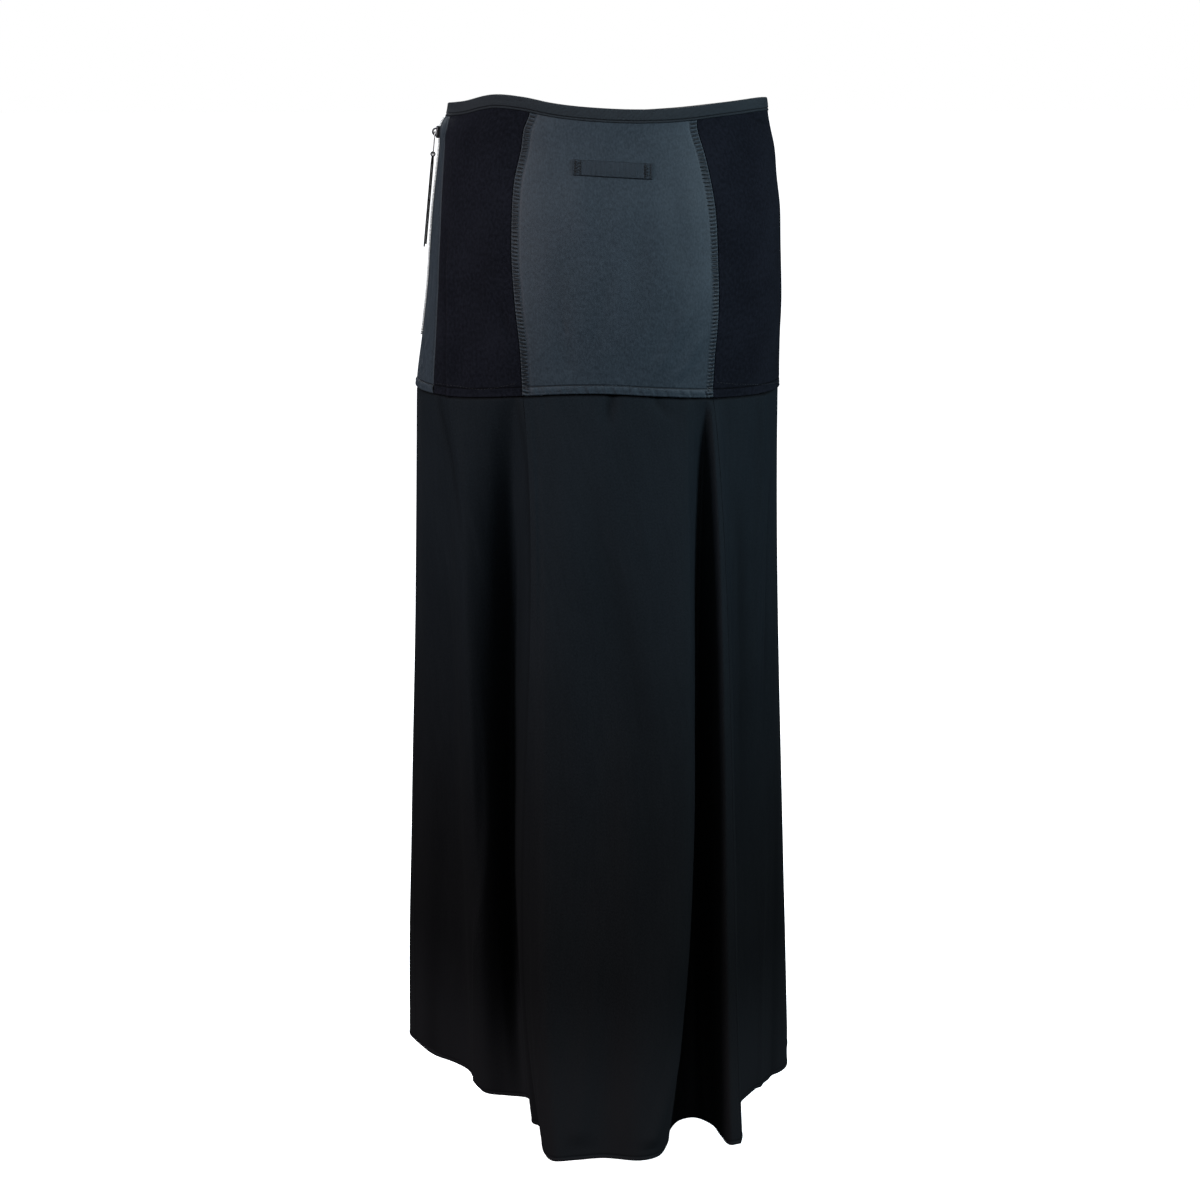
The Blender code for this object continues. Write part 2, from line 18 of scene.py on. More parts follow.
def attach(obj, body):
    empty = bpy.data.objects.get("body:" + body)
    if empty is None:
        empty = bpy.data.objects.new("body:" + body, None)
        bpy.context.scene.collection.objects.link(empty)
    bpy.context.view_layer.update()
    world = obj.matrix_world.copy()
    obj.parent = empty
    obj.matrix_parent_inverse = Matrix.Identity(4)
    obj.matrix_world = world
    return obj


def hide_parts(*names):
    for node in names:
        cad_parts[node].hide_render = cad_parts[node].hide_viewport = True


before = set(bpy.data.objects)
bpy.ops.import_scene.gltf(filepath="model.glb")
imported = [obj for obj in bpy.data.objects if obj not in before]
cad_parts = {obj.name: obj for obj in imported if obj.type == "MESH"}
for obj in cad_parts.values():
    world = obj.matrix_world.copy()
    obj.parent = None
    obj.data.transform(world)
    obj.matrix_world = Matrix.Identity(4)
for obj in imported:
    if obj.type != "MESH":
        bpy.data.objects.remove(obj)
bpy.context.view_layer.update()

MM = 0.001

# Sizes of the solids, repeated
HEM_DROP = 902 * MM
BAND_HEIGHT = 12 * MM
BAND_WALL = 2.4 * MM
BAND_PROUD = 0.6 * MM
LAY_GAP = 0.3 * MM
WELT_HEIGHT = 8 * MM
ZIP_TOP = 15.5 * MM
ZIP_LENGTH = 195 * MM
ZIP_SLOT = 4.7 * MM
ZIP_CLOSING = 6 * MM
TAPE_WIDTH = 11 * MM
TAPE_WALL = 1.0 * MM
TAPE_TAIL = 8 * MM
TAPE_DEPTH = 2.2 * MM            # the tape's face lies this far under the satin's
CHAIN_PROUD = 1.9 * MM
SLIDER_SIZE = Vector((4.9, 8.4, 11.0)) * MM
SLIDER_PROUD = 3.4 * MM
SLIDER_DROP = ZIP_TOP + SLIDER_SIZE.z / 2 + 8.0 * MM
BRIDGE_RADIUS = 3.0 * MM
BRIDGE_WIRE = 0.9 * MM
PULL_WIRE = 0.65 * MM
PULL_LOOP = Vector((9.0, 20.0)) * MM
PULL_CORNER = 2.2 * MM
STRIP_LENGTH = 83 * MM
STRIP_WIDTH = 6.6 * MM
STRIP_WALL = 2.8 * MM
STRIP_EYE = 1.0 * MM
STRIP_SLANT = 2.5 * MM           # the back leg of the strip ends this much higher than the front one
PULL_LEAN = radians(5.6)
TAB_WIDTH = 68 * MM
TAB_HEIGHT = 13.5 * MM
TAB_WALL = 1.0 * MM
TAB_DROP = 58 * MM
TAB_ANGLE = 88.5
TAB_TILT = radians(3.3)
RING_SQUARENESS = 2.15
BULGE = 27 / 4                   # brings the peak of share * (1 - share)**2 to 1

# Sizes of the finer cloth
SEAM = 0.1 * MM                  # what is left open between two panels
SATIN = 1.3 * MM
SIDE_SATIN = 2.0 * MM
JERSEY = 1.1 * MM
CREPE = 0.9 * MM
STITCH_PITCH = 3.2 * MM
STITCH_GAP = 0.7 * MM
SHORTEST_STITCH = 0.8 * MM
SEAM_TOPSTITCH = 4.5 * MM        # from the side satin's seam
ZIP_TOPSTITCH = 2.4 * MM         # from the side satin's edge at the zip
HEM_TOPSTITCH = 3.4 * MM         # from the skirt's hem
BAND_TOPSTITCH = 2.2 * MM        # from the waistband's foot
EDGE_CLOSE = 3 * MM              # closer grid lines end this far from an edge
RUNG_PITCH = 3.3 * MM
FIRST_RUNG = 3 * MM
RUNG_INNER = 6.5 * MM            # a rung runs between these distances from the panel's edge
RUNG_OUTER = 0.9 * MM
TAB_ROWS = (1.8 * MM, 6.6 * MM)  # stitched rows, from each end of the tab
TAB_ZIGZAG = (1.9 * MM, 6.5 * MM)
TOOTH_PITCH = 1.15 * MM
TOOTH_DEPTH = 1.6 * MM           # half sizes: out from the cloth, across it and up
TOOTH_WIDTH = 1.55 * MM
TOOTH_HEIGHT = 0.38 * MM
STOP_WIDTH = 2.3 * MM
STOP_HEIGHT = 1.1 * MM
TOOTH_STAGGER = 0.72 * MM        # closed teeth stand this far to either side of the chain's middle
TOOTH_PARTED = 0.75 * MM
CREASE_PAINTED_SHADE_AND_SHEEN = 140.0              # painted shade in a crease's trough and painted sheen on its crest, for a metre of height
EDGE_LINES = (0.2, 0.45, 0.8, 1.25, 1.9, 2.8)    # millimetres from a panel's edge

# The photo's viewpoint
VIEW_TURN = radians(4.0)
VIEW_TILT = radians(11.1)
VIEW_DISTANCE = 2.6
VIEW_SHIFT = 7 * MM
VIEW_HEIGHT = 51 * MM
SENSOR = 36.0
LENS = 2849 / 1200 * SENSOR
FLOOR_HEIGHT = -0.99
FLOOR_EDGE = 40.0

UNITLESS = {"angle", "side_back", "centre_left", "centre_right", "right_side", "top", "swing", "rise", "fall"}


def table(names, rows, unit):
    """Named columns of a small table, as arrays, with lengths in the unit."""
    columns = zip(names.split(), np.array(rows, dtype=float).T)
    return {name: column * (1.0 if name in UNITLESS else unit) for name, column in columns}


RINGS = table("drop shift half_width back front", (
    (0, 0, 142.7, 105, 105),
    (13, 0.2, 144.6, 105.8, 106.4),
    (22, 1.8, 147.8, 106.6, 107.6),
    (41, 0.6, 150.8, 109, 110),
    (68, 0.9, 153.7, 114, 113),
    (95, 0.9, 156.9, 119, 115),
    (135, 2, 159.0, 124, 116),
    (162, 2.5, 160.5, 126.5, 117),
    (190, 4, 162.2, 127.5, 117),
    (217, 6.5, 163.2, 127, 117),
    (240, 8, 165.0, 126, 117),
    (262, 9, 166.2, 125, 117),
), MM)
WAIST_LINE = table("angle height", (
    (0, -3), (20, -0.5), (36, 5.6), (47, 3.8), (60, -1.3), (85, -6), (118, -6), (142, -1), (162, 2),
    (182, 1), (205, -3), (235, -10), (270, -13), (305, -10), (335, -5), (360, -3),
), MM)
YOKE_LINE = table("angle height", (
    (0, -257), (34, -258), (58, -254), (72, -252), (91, -252), (108, -254.5), (131, -258), (180, -258),
    (270, -257), (360, -257),
), MM)
YOKE_SEAMS = table("drop side_back centre_left centre_right right_side", (
    (12, 8.5, 51.0, 127.1, 168),
    (22, 12.6, 50.2, 127.5, 171),
    (35, 11.3, 49.4, 128.3, 174),
    (65, 12.6, 47.8, 130.4, 177),
    (110, 15.2, 48.6, 131.1, 179),
    (150, 16.2, 50.4, 131.0, 180),
    (180, 17.4, 52.4, 131.0, 180),
    (215, 19.1, 55.3, 131.2, 180),
    (258, 20.6, 57.1, 131.5, 180),
), MM)

# Folds: the angle at the yoke seam, the place at the hem, and how the line runs between them (see fold_rows)
FOLD_COLUMNS = "top hem_x hem_y swing upper lower hollow"
LEFT_FOLDS = table(FOLD_COLUMNS, (
    (0.0, 183, -46, 1.0, 0, 2, 0),
    (13.0, 166, -6, 1.0, 0, 2, 0),
    (21.0, 147, 16, 1.0, 0, 0, 0),
    (27.0, 134, 38, 1.3, 0, 0, 3),
    (30.5, 128, 72, 1.6, 0, 0, -7),
    (35.0, 119, 99, 1.6, 0, 0, -6),
    (44.0, 99, 107, 1.6, -2, 4, 12),
    (51.5, 82, 114, 2.0, -5, 6, 40),
    (53.8, 78, 146, 3.0, -7, 7, 26),
    (55.5, 80, 177, 4.0, -8, 9, 0),
    (57.1, 74, 186, 5.0, -8, 10, -18),
), MM)
CENTRE_FOLDS = table(FOLD_COLUMNS, (
    (57.1, 74, 186, 5.0, -8, 10, -18),
    (59.0, 74, 214, 4.0, -8, 10, -12),
    (61.0, 73, 248, 4.0, -7, 9, -1),
    (64.0, 66, 266, 3.0, -5, 7, 3),
    (72.0, 47, 265, 2.0, -2, 2, 1),
    (86.0, 22, 262, 1.5, 0, 0, 0),
    (104.0, -9, 270, 1.2, 0, 0, 0),
    (118.5, -25, 262, 1.4, 0, -14, -2),
    (123.0, -36, 234, 1.5, 0, -11, 2),
    (125.4, -42, 200, 1.5, 0, -6, 14),
    (127.1, -53, 178, 1.3, 0, 0, 26),
    (128.4, -66, 173, 1.0, 0, 0, 30),
    (129.3, -80, 191, 0.8, -2, 0, 16),
    (130.0, -85, 217, 0.7, -3, 1, 4),
    (130.7, -91, 240, 0.6, -3.5, 1, -2),
    (131.5, -101, 237, 0.6, -3.5, 1, 0),
), MM)
RIGHT_FOLDS = table(FOLD_COLUMNS, (
    (131.5, -101, 237, 0.6, -3.5, 1, 0),
    (132.8, -104, 222, 0.6, -3.5, 1, 3),
    (134.0, -106, 186, 0.7, -3, 1, 8),
    (136.0, -110, 146, 0.8, -2, 1, 8),
    (141.5, -127, 111, 1.0, 0, 0, 0),
    (149.0, -148, 78, 1.0, 0, 0, 0),
    (160.0, -166, 50, 1.0, 2, 0, 0),
    (180.0, -171, 14, 1.0, 3, -1, 0),
), MM)
FRONT_FOLDS = table(FOLD_COLUMNS, (
    (180, -171, 14, 1, 3, -1, 0),
    (192, -177, -30, 1, 3, -1, 0),
    (204, -168, -74, 1, 0, 0, 0),
    (218, -156, -117, 1, 0, 0, 0),
    (232, -113, -134, 1, 0, 0, 0),
    (247, -76, -166, 1, 0, 0, 0),
    (262, -26, -160, 1, 0, 0, 0),
    (276, 20, -175, 1, 0, 0, 0),
    (291, 68, -160, 1, 0, 0, 0),
    (306, 113, -158, 1, 0, 0, 0),
    (321, 146, -122, 1, 0, 0, 0),
    (335, 180, -100, 1, 0, 0, 0),
    (348, 189, -70, 1, 0, 2, 0),
    (360, 183, -46, 1, 0, 2, 0),
), MM)

# Creases: a path of three places down the cloth, the height of the ridge (a trough is negative), how far it
# runs out before the path, toward the wearer's left at the back, and after it, and the shares of its length
# over which it rises from nothing and dies away
CREASE_COLUMNS = "x0 y0 x1 y1 x2 y2 height before after rise fall"


# Surfaces

def smooth(at, knots, values, cyclic=False):
    """Cubic curve through the knots with centred slopes; values may have one row or many columns."""
    values = np.asarray(values, dtype=float)
    at = np.asarray(at, dtype=float)
    slopes = np.gradient(values, knots, axis=0)
    if cyclic:
        wrap = (values[1] - values[-2]) / (knots[1] - knots[0] + knots[-1] - knots[-2])
        slopes[0] = slopes[-1] = wrap
    cell = np.clip(np.searchsorted(knots, at, side="right") - 1, 0, len(knots) - 2)
    width = knots[cell + 1] - knots[cell]
    t = np.clip((at - knots[cell]) / width, 0.0, 1.0)
    if values.ndim > 1:
        t = t[..., None]
        width = width[..., None]
    return ((2 * t**3 - 3 * t**2 + 1) * values[cell] + (t**3 - 2 * t**2 + t) * width * slopes[cell]
            + (3 * t**2 - 2 * t**3) * values[cell + 1] + (t**3 - t**2) * width * slopes[cell + 1])


def ease(value, low, high):
    """0 up to low, 1 from high, and a soft step between them."""
    t = np.clip((value - low) / (high - low), 0.0, 1.0)
    return t * t * (3 - 2 * t)


def ring_point(angle, drop):
    """Points x, y of the body's ring at a drop below the waist: a squared ellipse, deeper at the back."""
    shift, half_width, back, front = (
        smooth(drop, RINGS["drop"], RINGS[name]) for name in ("shift", "half_width", "back", "front"))
    turn = np.radians(angle)
    depth = np.where(np.sin(turn) >= 0, back, front)
    radius = ((np.abs(np.cos(turn)) / half_width)**RING_SQUARENESS
              + (np.abs(np.sin(turn)) / depth)**RING_SQUARENESS)**(-1 / RING_SQUARENESS)
    return shift + radius * np.cos(turn), radius * np.sin(turn)


def line_height(line, angle):
    """Height of a line round the body at an angle: the cubic curve through its table, closed on itself."""
    return smooth(np.mod(angle, 360.0), line["angle"], line["height"], cyclic=True)


def body_point(angle, height):
    """Point on the body's surface at an angle and a height (negative below the waist)."""
    x, y = ring_point(angle, -height)
    return np.stack((x, y, height + 0.0 * x), axis=-1)


def gap_angle(height, distance, angle=0.0):
    """Degrees that a distance along the cloth takes up at an angle."""
    step = 0.5
    reach = np.linalg.norm(body_point(angle + step, height) - body_point(angle - step, height), axis=-1)
    return distance / reach * 2 * step


def seam_angle(name, height):
    """Angle of a yoke seam at a height: the cubic curve through its column."""
    return smooth(-height, YOKE_SEAMS["drop"], YOKE_SEAMS[name])


def unit(vectors):
    """Vectors divided by their own length."""
    return vectors / np.linalg.norm(vectors, axis=-1, keepdims=True)


def outward(points):
    """Unit normals of a grid of points whose rows run down and whose columns run with the angle."""
    return unit(np.cross(np.gradient(points, axis=0), np.gradient(points, axis=1)))


def level_rims(normal):
    """The first and last row of normals made level, so that both rims of a wall are level cuts."""
    for row in (0, -1):
        normal[row, :, 2] = 0.0
        normal[row] = unit(normal[row])
    return normal


class Panel:
    """A cut piece of cloth: a grid of points on its face, with the distances along it from its four edges.

    relief is how far the finished face stands out from the grid. The cloth's colour follows its painted shade
    and sheen: 1, painted shade, where stitches or troughs draw the cloth in, 0 on plain cloth, and below 0,
    painted sheen, on crests.
    """

    def __init__(self, points, normal=None):
        self.points = points
        self.normal = level_rims(outward(points)) if normal is None else normal
        steps_across = np.linalg.norm(np.diff(points, axis=1), axis=-1)
        steps_down = np.linalg.norm(np.diff(points, axis=0), axis=-1)
        self.from_left = np.pad(np.cumsum(steps_across, axis=1), ((0, 0), (1, 0)))
        self.from_top = np.pad(np.cumsum(steps_down, axis=0), ((1, 0), (0, 0)))
        self.width = self.from_left[:, -1:]
        self.length = self.from_top[-1:]
        self.from_right = self.width - self.from_left
        self.from_foot = self.length - self.from_top
        self.across = self.from_left - self.width / 2
        self.relief = np.zeros(points.shape[:2])
        # Painted shade (above 0) and painted sheen (below 0), which the cloth's colour follows
        self.painted_shade_and_sheen = np.zeros(points.shape[:2])

    def face(self):
        """The finished face: the grid moved out by its relief."""
        return self.points + self.relief[..., None] * self.normal

    def area(self):
        """Flat area: the mean width times the mean length."""
        return float(np.mean(self.width) * np.mean(self.length))

    def width_at(self, from_top):
        """The panel's width at distances down from its top edge."""
        rows = np.arange(len(self.width))
        return np.interp(np.interp(from_top, self.from_top[:, 0], rows), rows, self.width[:, 0])

    def place(self, from_left, from_top):
        """Points of the finished face, and its normals, at distances from the left edge and the top.

        Each is a mean of the four grid points round its place, weighted by nearness.
        """
        rows, columns = self.relief.shape
        row = np.interp(from_top, self.from_top[:, columns // 2], np.arange(rows))
        share = from_left / np.interp(row, np.arange(rows), self.width[:, 0])
        column = np.interp(share, self.from_left[rows // 2] / self.width[rows // 2, 0], np.arange(columns))
        low_row = np.clip(row.astype(int), 0, rows - 2)
        low_column = np.clip(column.astype(int), 0, columns - 2)
        v = (row - low_row)[..., None]
        u = (column - low_column)[..., None]
        return [
            grid[low_row, low_column] * (1 - u) * (1 - v) + grid[low_row, low_column + 1] * u * (1 - v)
            + grid[low_row + 1, low_column] * (1 - u) * v + grid[low_row + 1, low_column + 1] * u * v
            for grid in (self.face(), self.normal)]

    def press(self, distance, width, depth, shade=1.0):
        """A stitched groove where the distance is 0: depth * exp(-(distance / width)**2), with painted shade
        by the same curve.
        """
        dip = np.exp(-(distance / width)**2)
        self.relief -= depth * dip
        self.painted_shade_and_sheen = np.maximum(self.painted_shade_and_sheen, shade * dip)

    def roll(self, distance, radius):
        """A rounded edge: the face falls by a quarter circle over its last radius, with painted shade over
        it.
        """
        inside = np.clip(1.0 - distance / radius, 0.0, 1.0)
        self.relief -= radius * (1.0 - np.sqrt(1.0 - 0.96 * inside**2))
        self.painted_shade_and_sheen = np.maximum(self.painted_shade_and_sheen, inside)

    def lip(self, distance, middle, reach, height):
        """A bead of turned-in cloth along an edge: height * exp(-((distance - middle) / reach)**2)."""
        self.relief += height * np.exp(-((distance - middle) / reach)**2)

    def crease(self, creases, keep_off=10 * MM):
        """Ridges and troughs along their paths: height * exp(-(distance from the path / reach)**2).

        The distance is measured across the cloth and set square to the path by its slope, the reach is not
        the same on both sides, and each one rises from nothing at its two ends. Crests get a painted sheen
        and troughs a painted shade, by a set share of colour for each metre of height.
        """
        off_edge = ease(np.minimum(self.from_left, self.from_right), 0.0, keep_off)
        for x0, y0, x1, y1, x2, y2, height, before, after, rise, fall in zip(*creases.values()):
            down = np.array((y0, y1, y2))
            path = np.array((x0, x1, x2))
            middle = smooth(self.from_top, down, path)
            slope = smooth(self.from_top, down, np.gradient(path, down))
            side = (self.across - middle) / np.sqrt(1 + slope**2)
            reach = np.where(side < 0, before, after)
            along = (self.from_top - y0) / (y2 - y0)
            strength = ease(along, 0.0, rise) * (1 - ease(along, 1 - fall, 1.0))
            form = np.exp(-(side / reach)**2) * strength * off_edge
            self.relief += height * form
            # Painted shade in troughs and painted sheen on crests
            self.painted_shade_and_sheen -= CREASE_PAINTED_SHADE_AND_SHEEN * height * form

    def uneven(self, size, height, seed, stretch=1.0):
        """Slight unevenness: a sum of nine waves in seeded directions, longer down the cloth by stretch."""
        draw = np.random.default_rng(seed)
        total = np.zeros_like(self.relief)
        for _ in range(9):
            turn, shift = draw.uniform(0.0, 2 * pi, 2)
            wave = size * draw.uniform(0.6, 1.7)
            along = self.across * cos(turn) + self.from_top * sin(turn) / stretch
            total += np.sin(2 * pi * along / wave + shift)
        edge = np.minimum.reduce((self.from_left, self.from_right, self.from_top, self.from_foot))
        self.relief += height * total / 3 * ease(edge, 0.0, size / 2)

    def pucker(self, reach, pitch, height, seed):
        """Short puckers that run down from the top seam: sums of height * exp(-across**2 - down**2).

        Across is in widths and down is in lengths, and places, strengths and lengths are seeded.
        """
        draw = np.random.default_rng(seed)
        span = float(self.from_left.max())
        count = int(span / pitch)
        for middle in (np.arange(count) + draw.uniform(0.1, 0.9, count)) * span / count:
            width = pitch * draw.uniform(0.22, 0.42)
            length = reach * draw.uniform(0.5, 1.2)
            strength = height * draw.uniform(0.3, 1.0)
            lean = draw.uniform(-0.25, 0.25)
            side = (self.from_left - middle - lean * self.from_top) / width
            self.relief += strength * np.exp(-side**2 - (self.from_top / length)**2)


def shares(length, step, finer=()):
    """Shares 0 to 1 of a length, about a step apart, with close lines inside both ends.

    finer is rows of (from, to, step) in metres, where the lines lie closer.
    """
    lines = [0.0, *(line * MM for line in EDGE_LINES)]
    lines += [length - line for line in lines]
    inner = np.linspace(EDGE_LINES[-1] * MM, length - EDGE_LINES[-1] * MM, max(2, round(length / step)))
    for start, stop, close in finer:
        inner = inner[(inner < start) | (inner > stop)]
        inner = np.concatenate((inner, np.arange(start, stop, close)))
    lines = np.unique(np.round(np.concatenate((lines, inner)) / length, 7))
    keep = np.concatenate(((True,), np.diff(lines) > 0.1 * MM / length))
    keep[-1] = True
    return np.clip(lines[keep], 0.0, 1.0)


# Meshes and pieces

def mesh_of(name, points, faces, uv=None, painted_shade_and_sheen=None):
    """A smooth-shaded mesh of four-sided faces, with the cloth's flat as its UV map and its painted shade and
    sheen.
    """
    mesh = bpy.data.meshes.new(name)
    mesh.vertices.add(len(points))
    mesh.vertices.foreach_set("co", np.asarray(points, dtype=np.float32).ravel())
    mesh.loops.add(faces.size)
    mesh.loops.foreach_set("vertex_index", faces.ravel().astype(np.int32))
    mesh.polygons.add(len(faces))
    mesh.polygons.foreach_set("loop_start", np.arange(0, faces.size, faces.shape[1], dtype=np.int32))
    mesh.update(calc_edges=True)
    mesh.shade_smooth()
    if uv is not None:
        layer = mesh.uv_layers.new(name="flat")
        layer.data.foreach_set("uv", np.asarray(uv, dtype=np.float32)[faces.ravel()].ravel())
    if painted_shade_and_sheen is not None:
        layer = mesh.attributes.new("painted_shade_and_sheen", "FLOAT", "POINT")
        layer.data.foreach_set("value", np.asarray(painted_shade_and_sheen, dtype=np.float32).ravel())
    return mesh


def piece(name, mesh, material, body="skirt", stands_for=()):
    """Puts a mesh into the scene as a piece that rides on a body."""
    mesh.materials.append(material)
    made = bpy.data.objects.new(name, mesh)
    bpy.context.scene.collection.objects.link(made)
    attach(made, body)
    if stands_for:
        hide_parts(*stands_for)
    return made


def grid_faces(rows, columns, closed_rows=False, closed_columns=False):
    """Four-sided faces of a grid of points, wound so that outward() points out of them."""
    number = np.arange(rows * columns).reshape(rows, columns)
    if closed_rows:
        number = np.concatenate((number, number[:1]))
    if closed_columns:
        number = np.concatenate((number, number[:, :1]), axis=1)
    corners = (number[:-1, :-1], number[1:, :-1], number[1:, 1:], number[:-1, 1:])
    return np.stack(corners, axis=-1).reshape(-1, 4)


def cloth(name, panel, wall, material, node):
    """Closed wall of cloth on a panel: its finished face, and the same face a wall's thickness in."""
    rows, columns = panel.relief.shape
    face = panel.face()
    inner = face - wall * panel.normal
    count = rows * columns
    number = np.arange(count).reshape(rows, columns)
    sheet = grid_faces(rows, columns)

    def rim(edge):
        """Faces that join an edge of the face to the same edge of the inner side."""
        return np.stack((edge[:-1], edge[1:], edge[1:] + count, edge[:-1] + count), axis=-1)

    faces = np.concatenate((
        sheet, sheet[:, ::-1] + count, rim(number[0]), rim(number[-1])[:, ::-1],
        rim(number[:, 0])[:, ::-1], rim(number[:, -1])))
    flat = np.stack((panel.across, panel.from_top), axis=-1).reshape(-1, 2)
    points = np.concatenate((face.reshape(-1, 3), inner.reshape(-1, 3)))
    # The inner side gets a painted shade of 0.6.
    painted_shade_and_sheen = np.concatenate((panel.painted_shade_and_sheen.ravel(), 0.6 * np.ones(count)))
    mesh = mesh_of(name, points, faces, np.concatenate((flat, flat)), painted_shade_and_sheen)
    made = piece(name, mesh, material, stands_for=(node,))
    size = (float(panel.width.max()), float(panel.length.max()))
    min(panel.area(), size[0] * size[1])
    return made


def stitches(name, starts, ends, normals, radius, lift, material):
    """Sewing threads: each is a thin bead from its start to its end, which bows out by lift.

    Along the bead t runs from 0 to 1; its middle stands out by lift * 4t(1 - t), and its radius swells from
    nearly nothing to full within the first and last eighth.
    """
    t = np.array((0.0, 0.13, 0.5, 0.87, 1.0))
    swell = np.array((0.15, 0.85, 1.0, 0.85, 0.15))
    turn = np.linspace(0.0, 2 * pi, 6, endpoint=False)
    along = unit(ends - starts)
    side = unit(np.cross(along, normals))
    up = np.cross(side, along)
    middle = (starts[:, None] + (ends - starts)[:, None] * t[None, :, None]
              + up[:, None] * (lift * 4 * t * (1 - t))[None, :, None])
    ring = (side[:, None, None] * np.cos(turn)[None, None, :, None]
            + up[:, None, None] * np.sin(turn)[None, None, :, None])
    points = middle[:, :, None] + ring * (radius * swell)[None, :, None, None]
    one = grid_faces(len(t), len(turn), closed_columns=True)
    caps = np.array(((0, 1, 2, 3), (0, 3, 4, 5)))
    one = np.concatenate((one, caps, caps[:, ::-1] + (len(t) - 1) * len(turn)))
    faces = (one[None] + (np.arange(len(starts)) * len(t) * len(turn))[:, None, None]).reshape(-1, 4)
    return piece(name, mesh_of(name, points.reshape(-1, 3), faces), material)


def stitch_row(panel, distance, from_edge, ends=(0.0, 1.0), pitch=STITCH_PITCH, gap=STITCH_GAP):
    """Starts, ends and normals of a row of stitches at a distance from one edge of a panel.

    The stitches start a pitch apart, are a pitch less a gap long, and fill the edge between two shares of it.
    """
    upright = from_edge in ("left", "right")
    span = float(np.mean(panel.length if upright else panel.width))
    start = np.arange(span * ends[0] + pitch, span * ends[1] - pitch, pitch)
    found = []
    for along in (start, start + pitch - gap):
        if from_edge == "foot":
            foot = np.interp(along / span, panel.from_left[-1] / panel.width[-1, 0], panel.length[0])
            found.append(panel.place(along, foot - distance))
        elif from_edge == "left":
            found.append(panel.place(0 * along + distance, along))
        else:
            found.append(panel.place(panel.width_at(along) - distance, along))
    (starts, normals), (stops, _) = found
    return starts, stops, normals


# Materials

class Socket:
    """An output of a node; arithmetic on it adds Math nodes to its recipe."""

    def __init__(self, recipe, output):
        self.recipe = recipe
        self.output = output

    def __add__(self, other):
        return self.recipe.math("ADD", self, other)

    def __sub__(self, other):
        return self.recipe.math("SUBTRACT", self, other)

    def __rsub__(self, other):
        return self.recipe.math("SUBTRACT", other, self)

    def __mul__(self, other):
        return self.recipe.math("MULTIPLY", self, other)

    __radd__ = __add__
    __rmul__ = __mul__


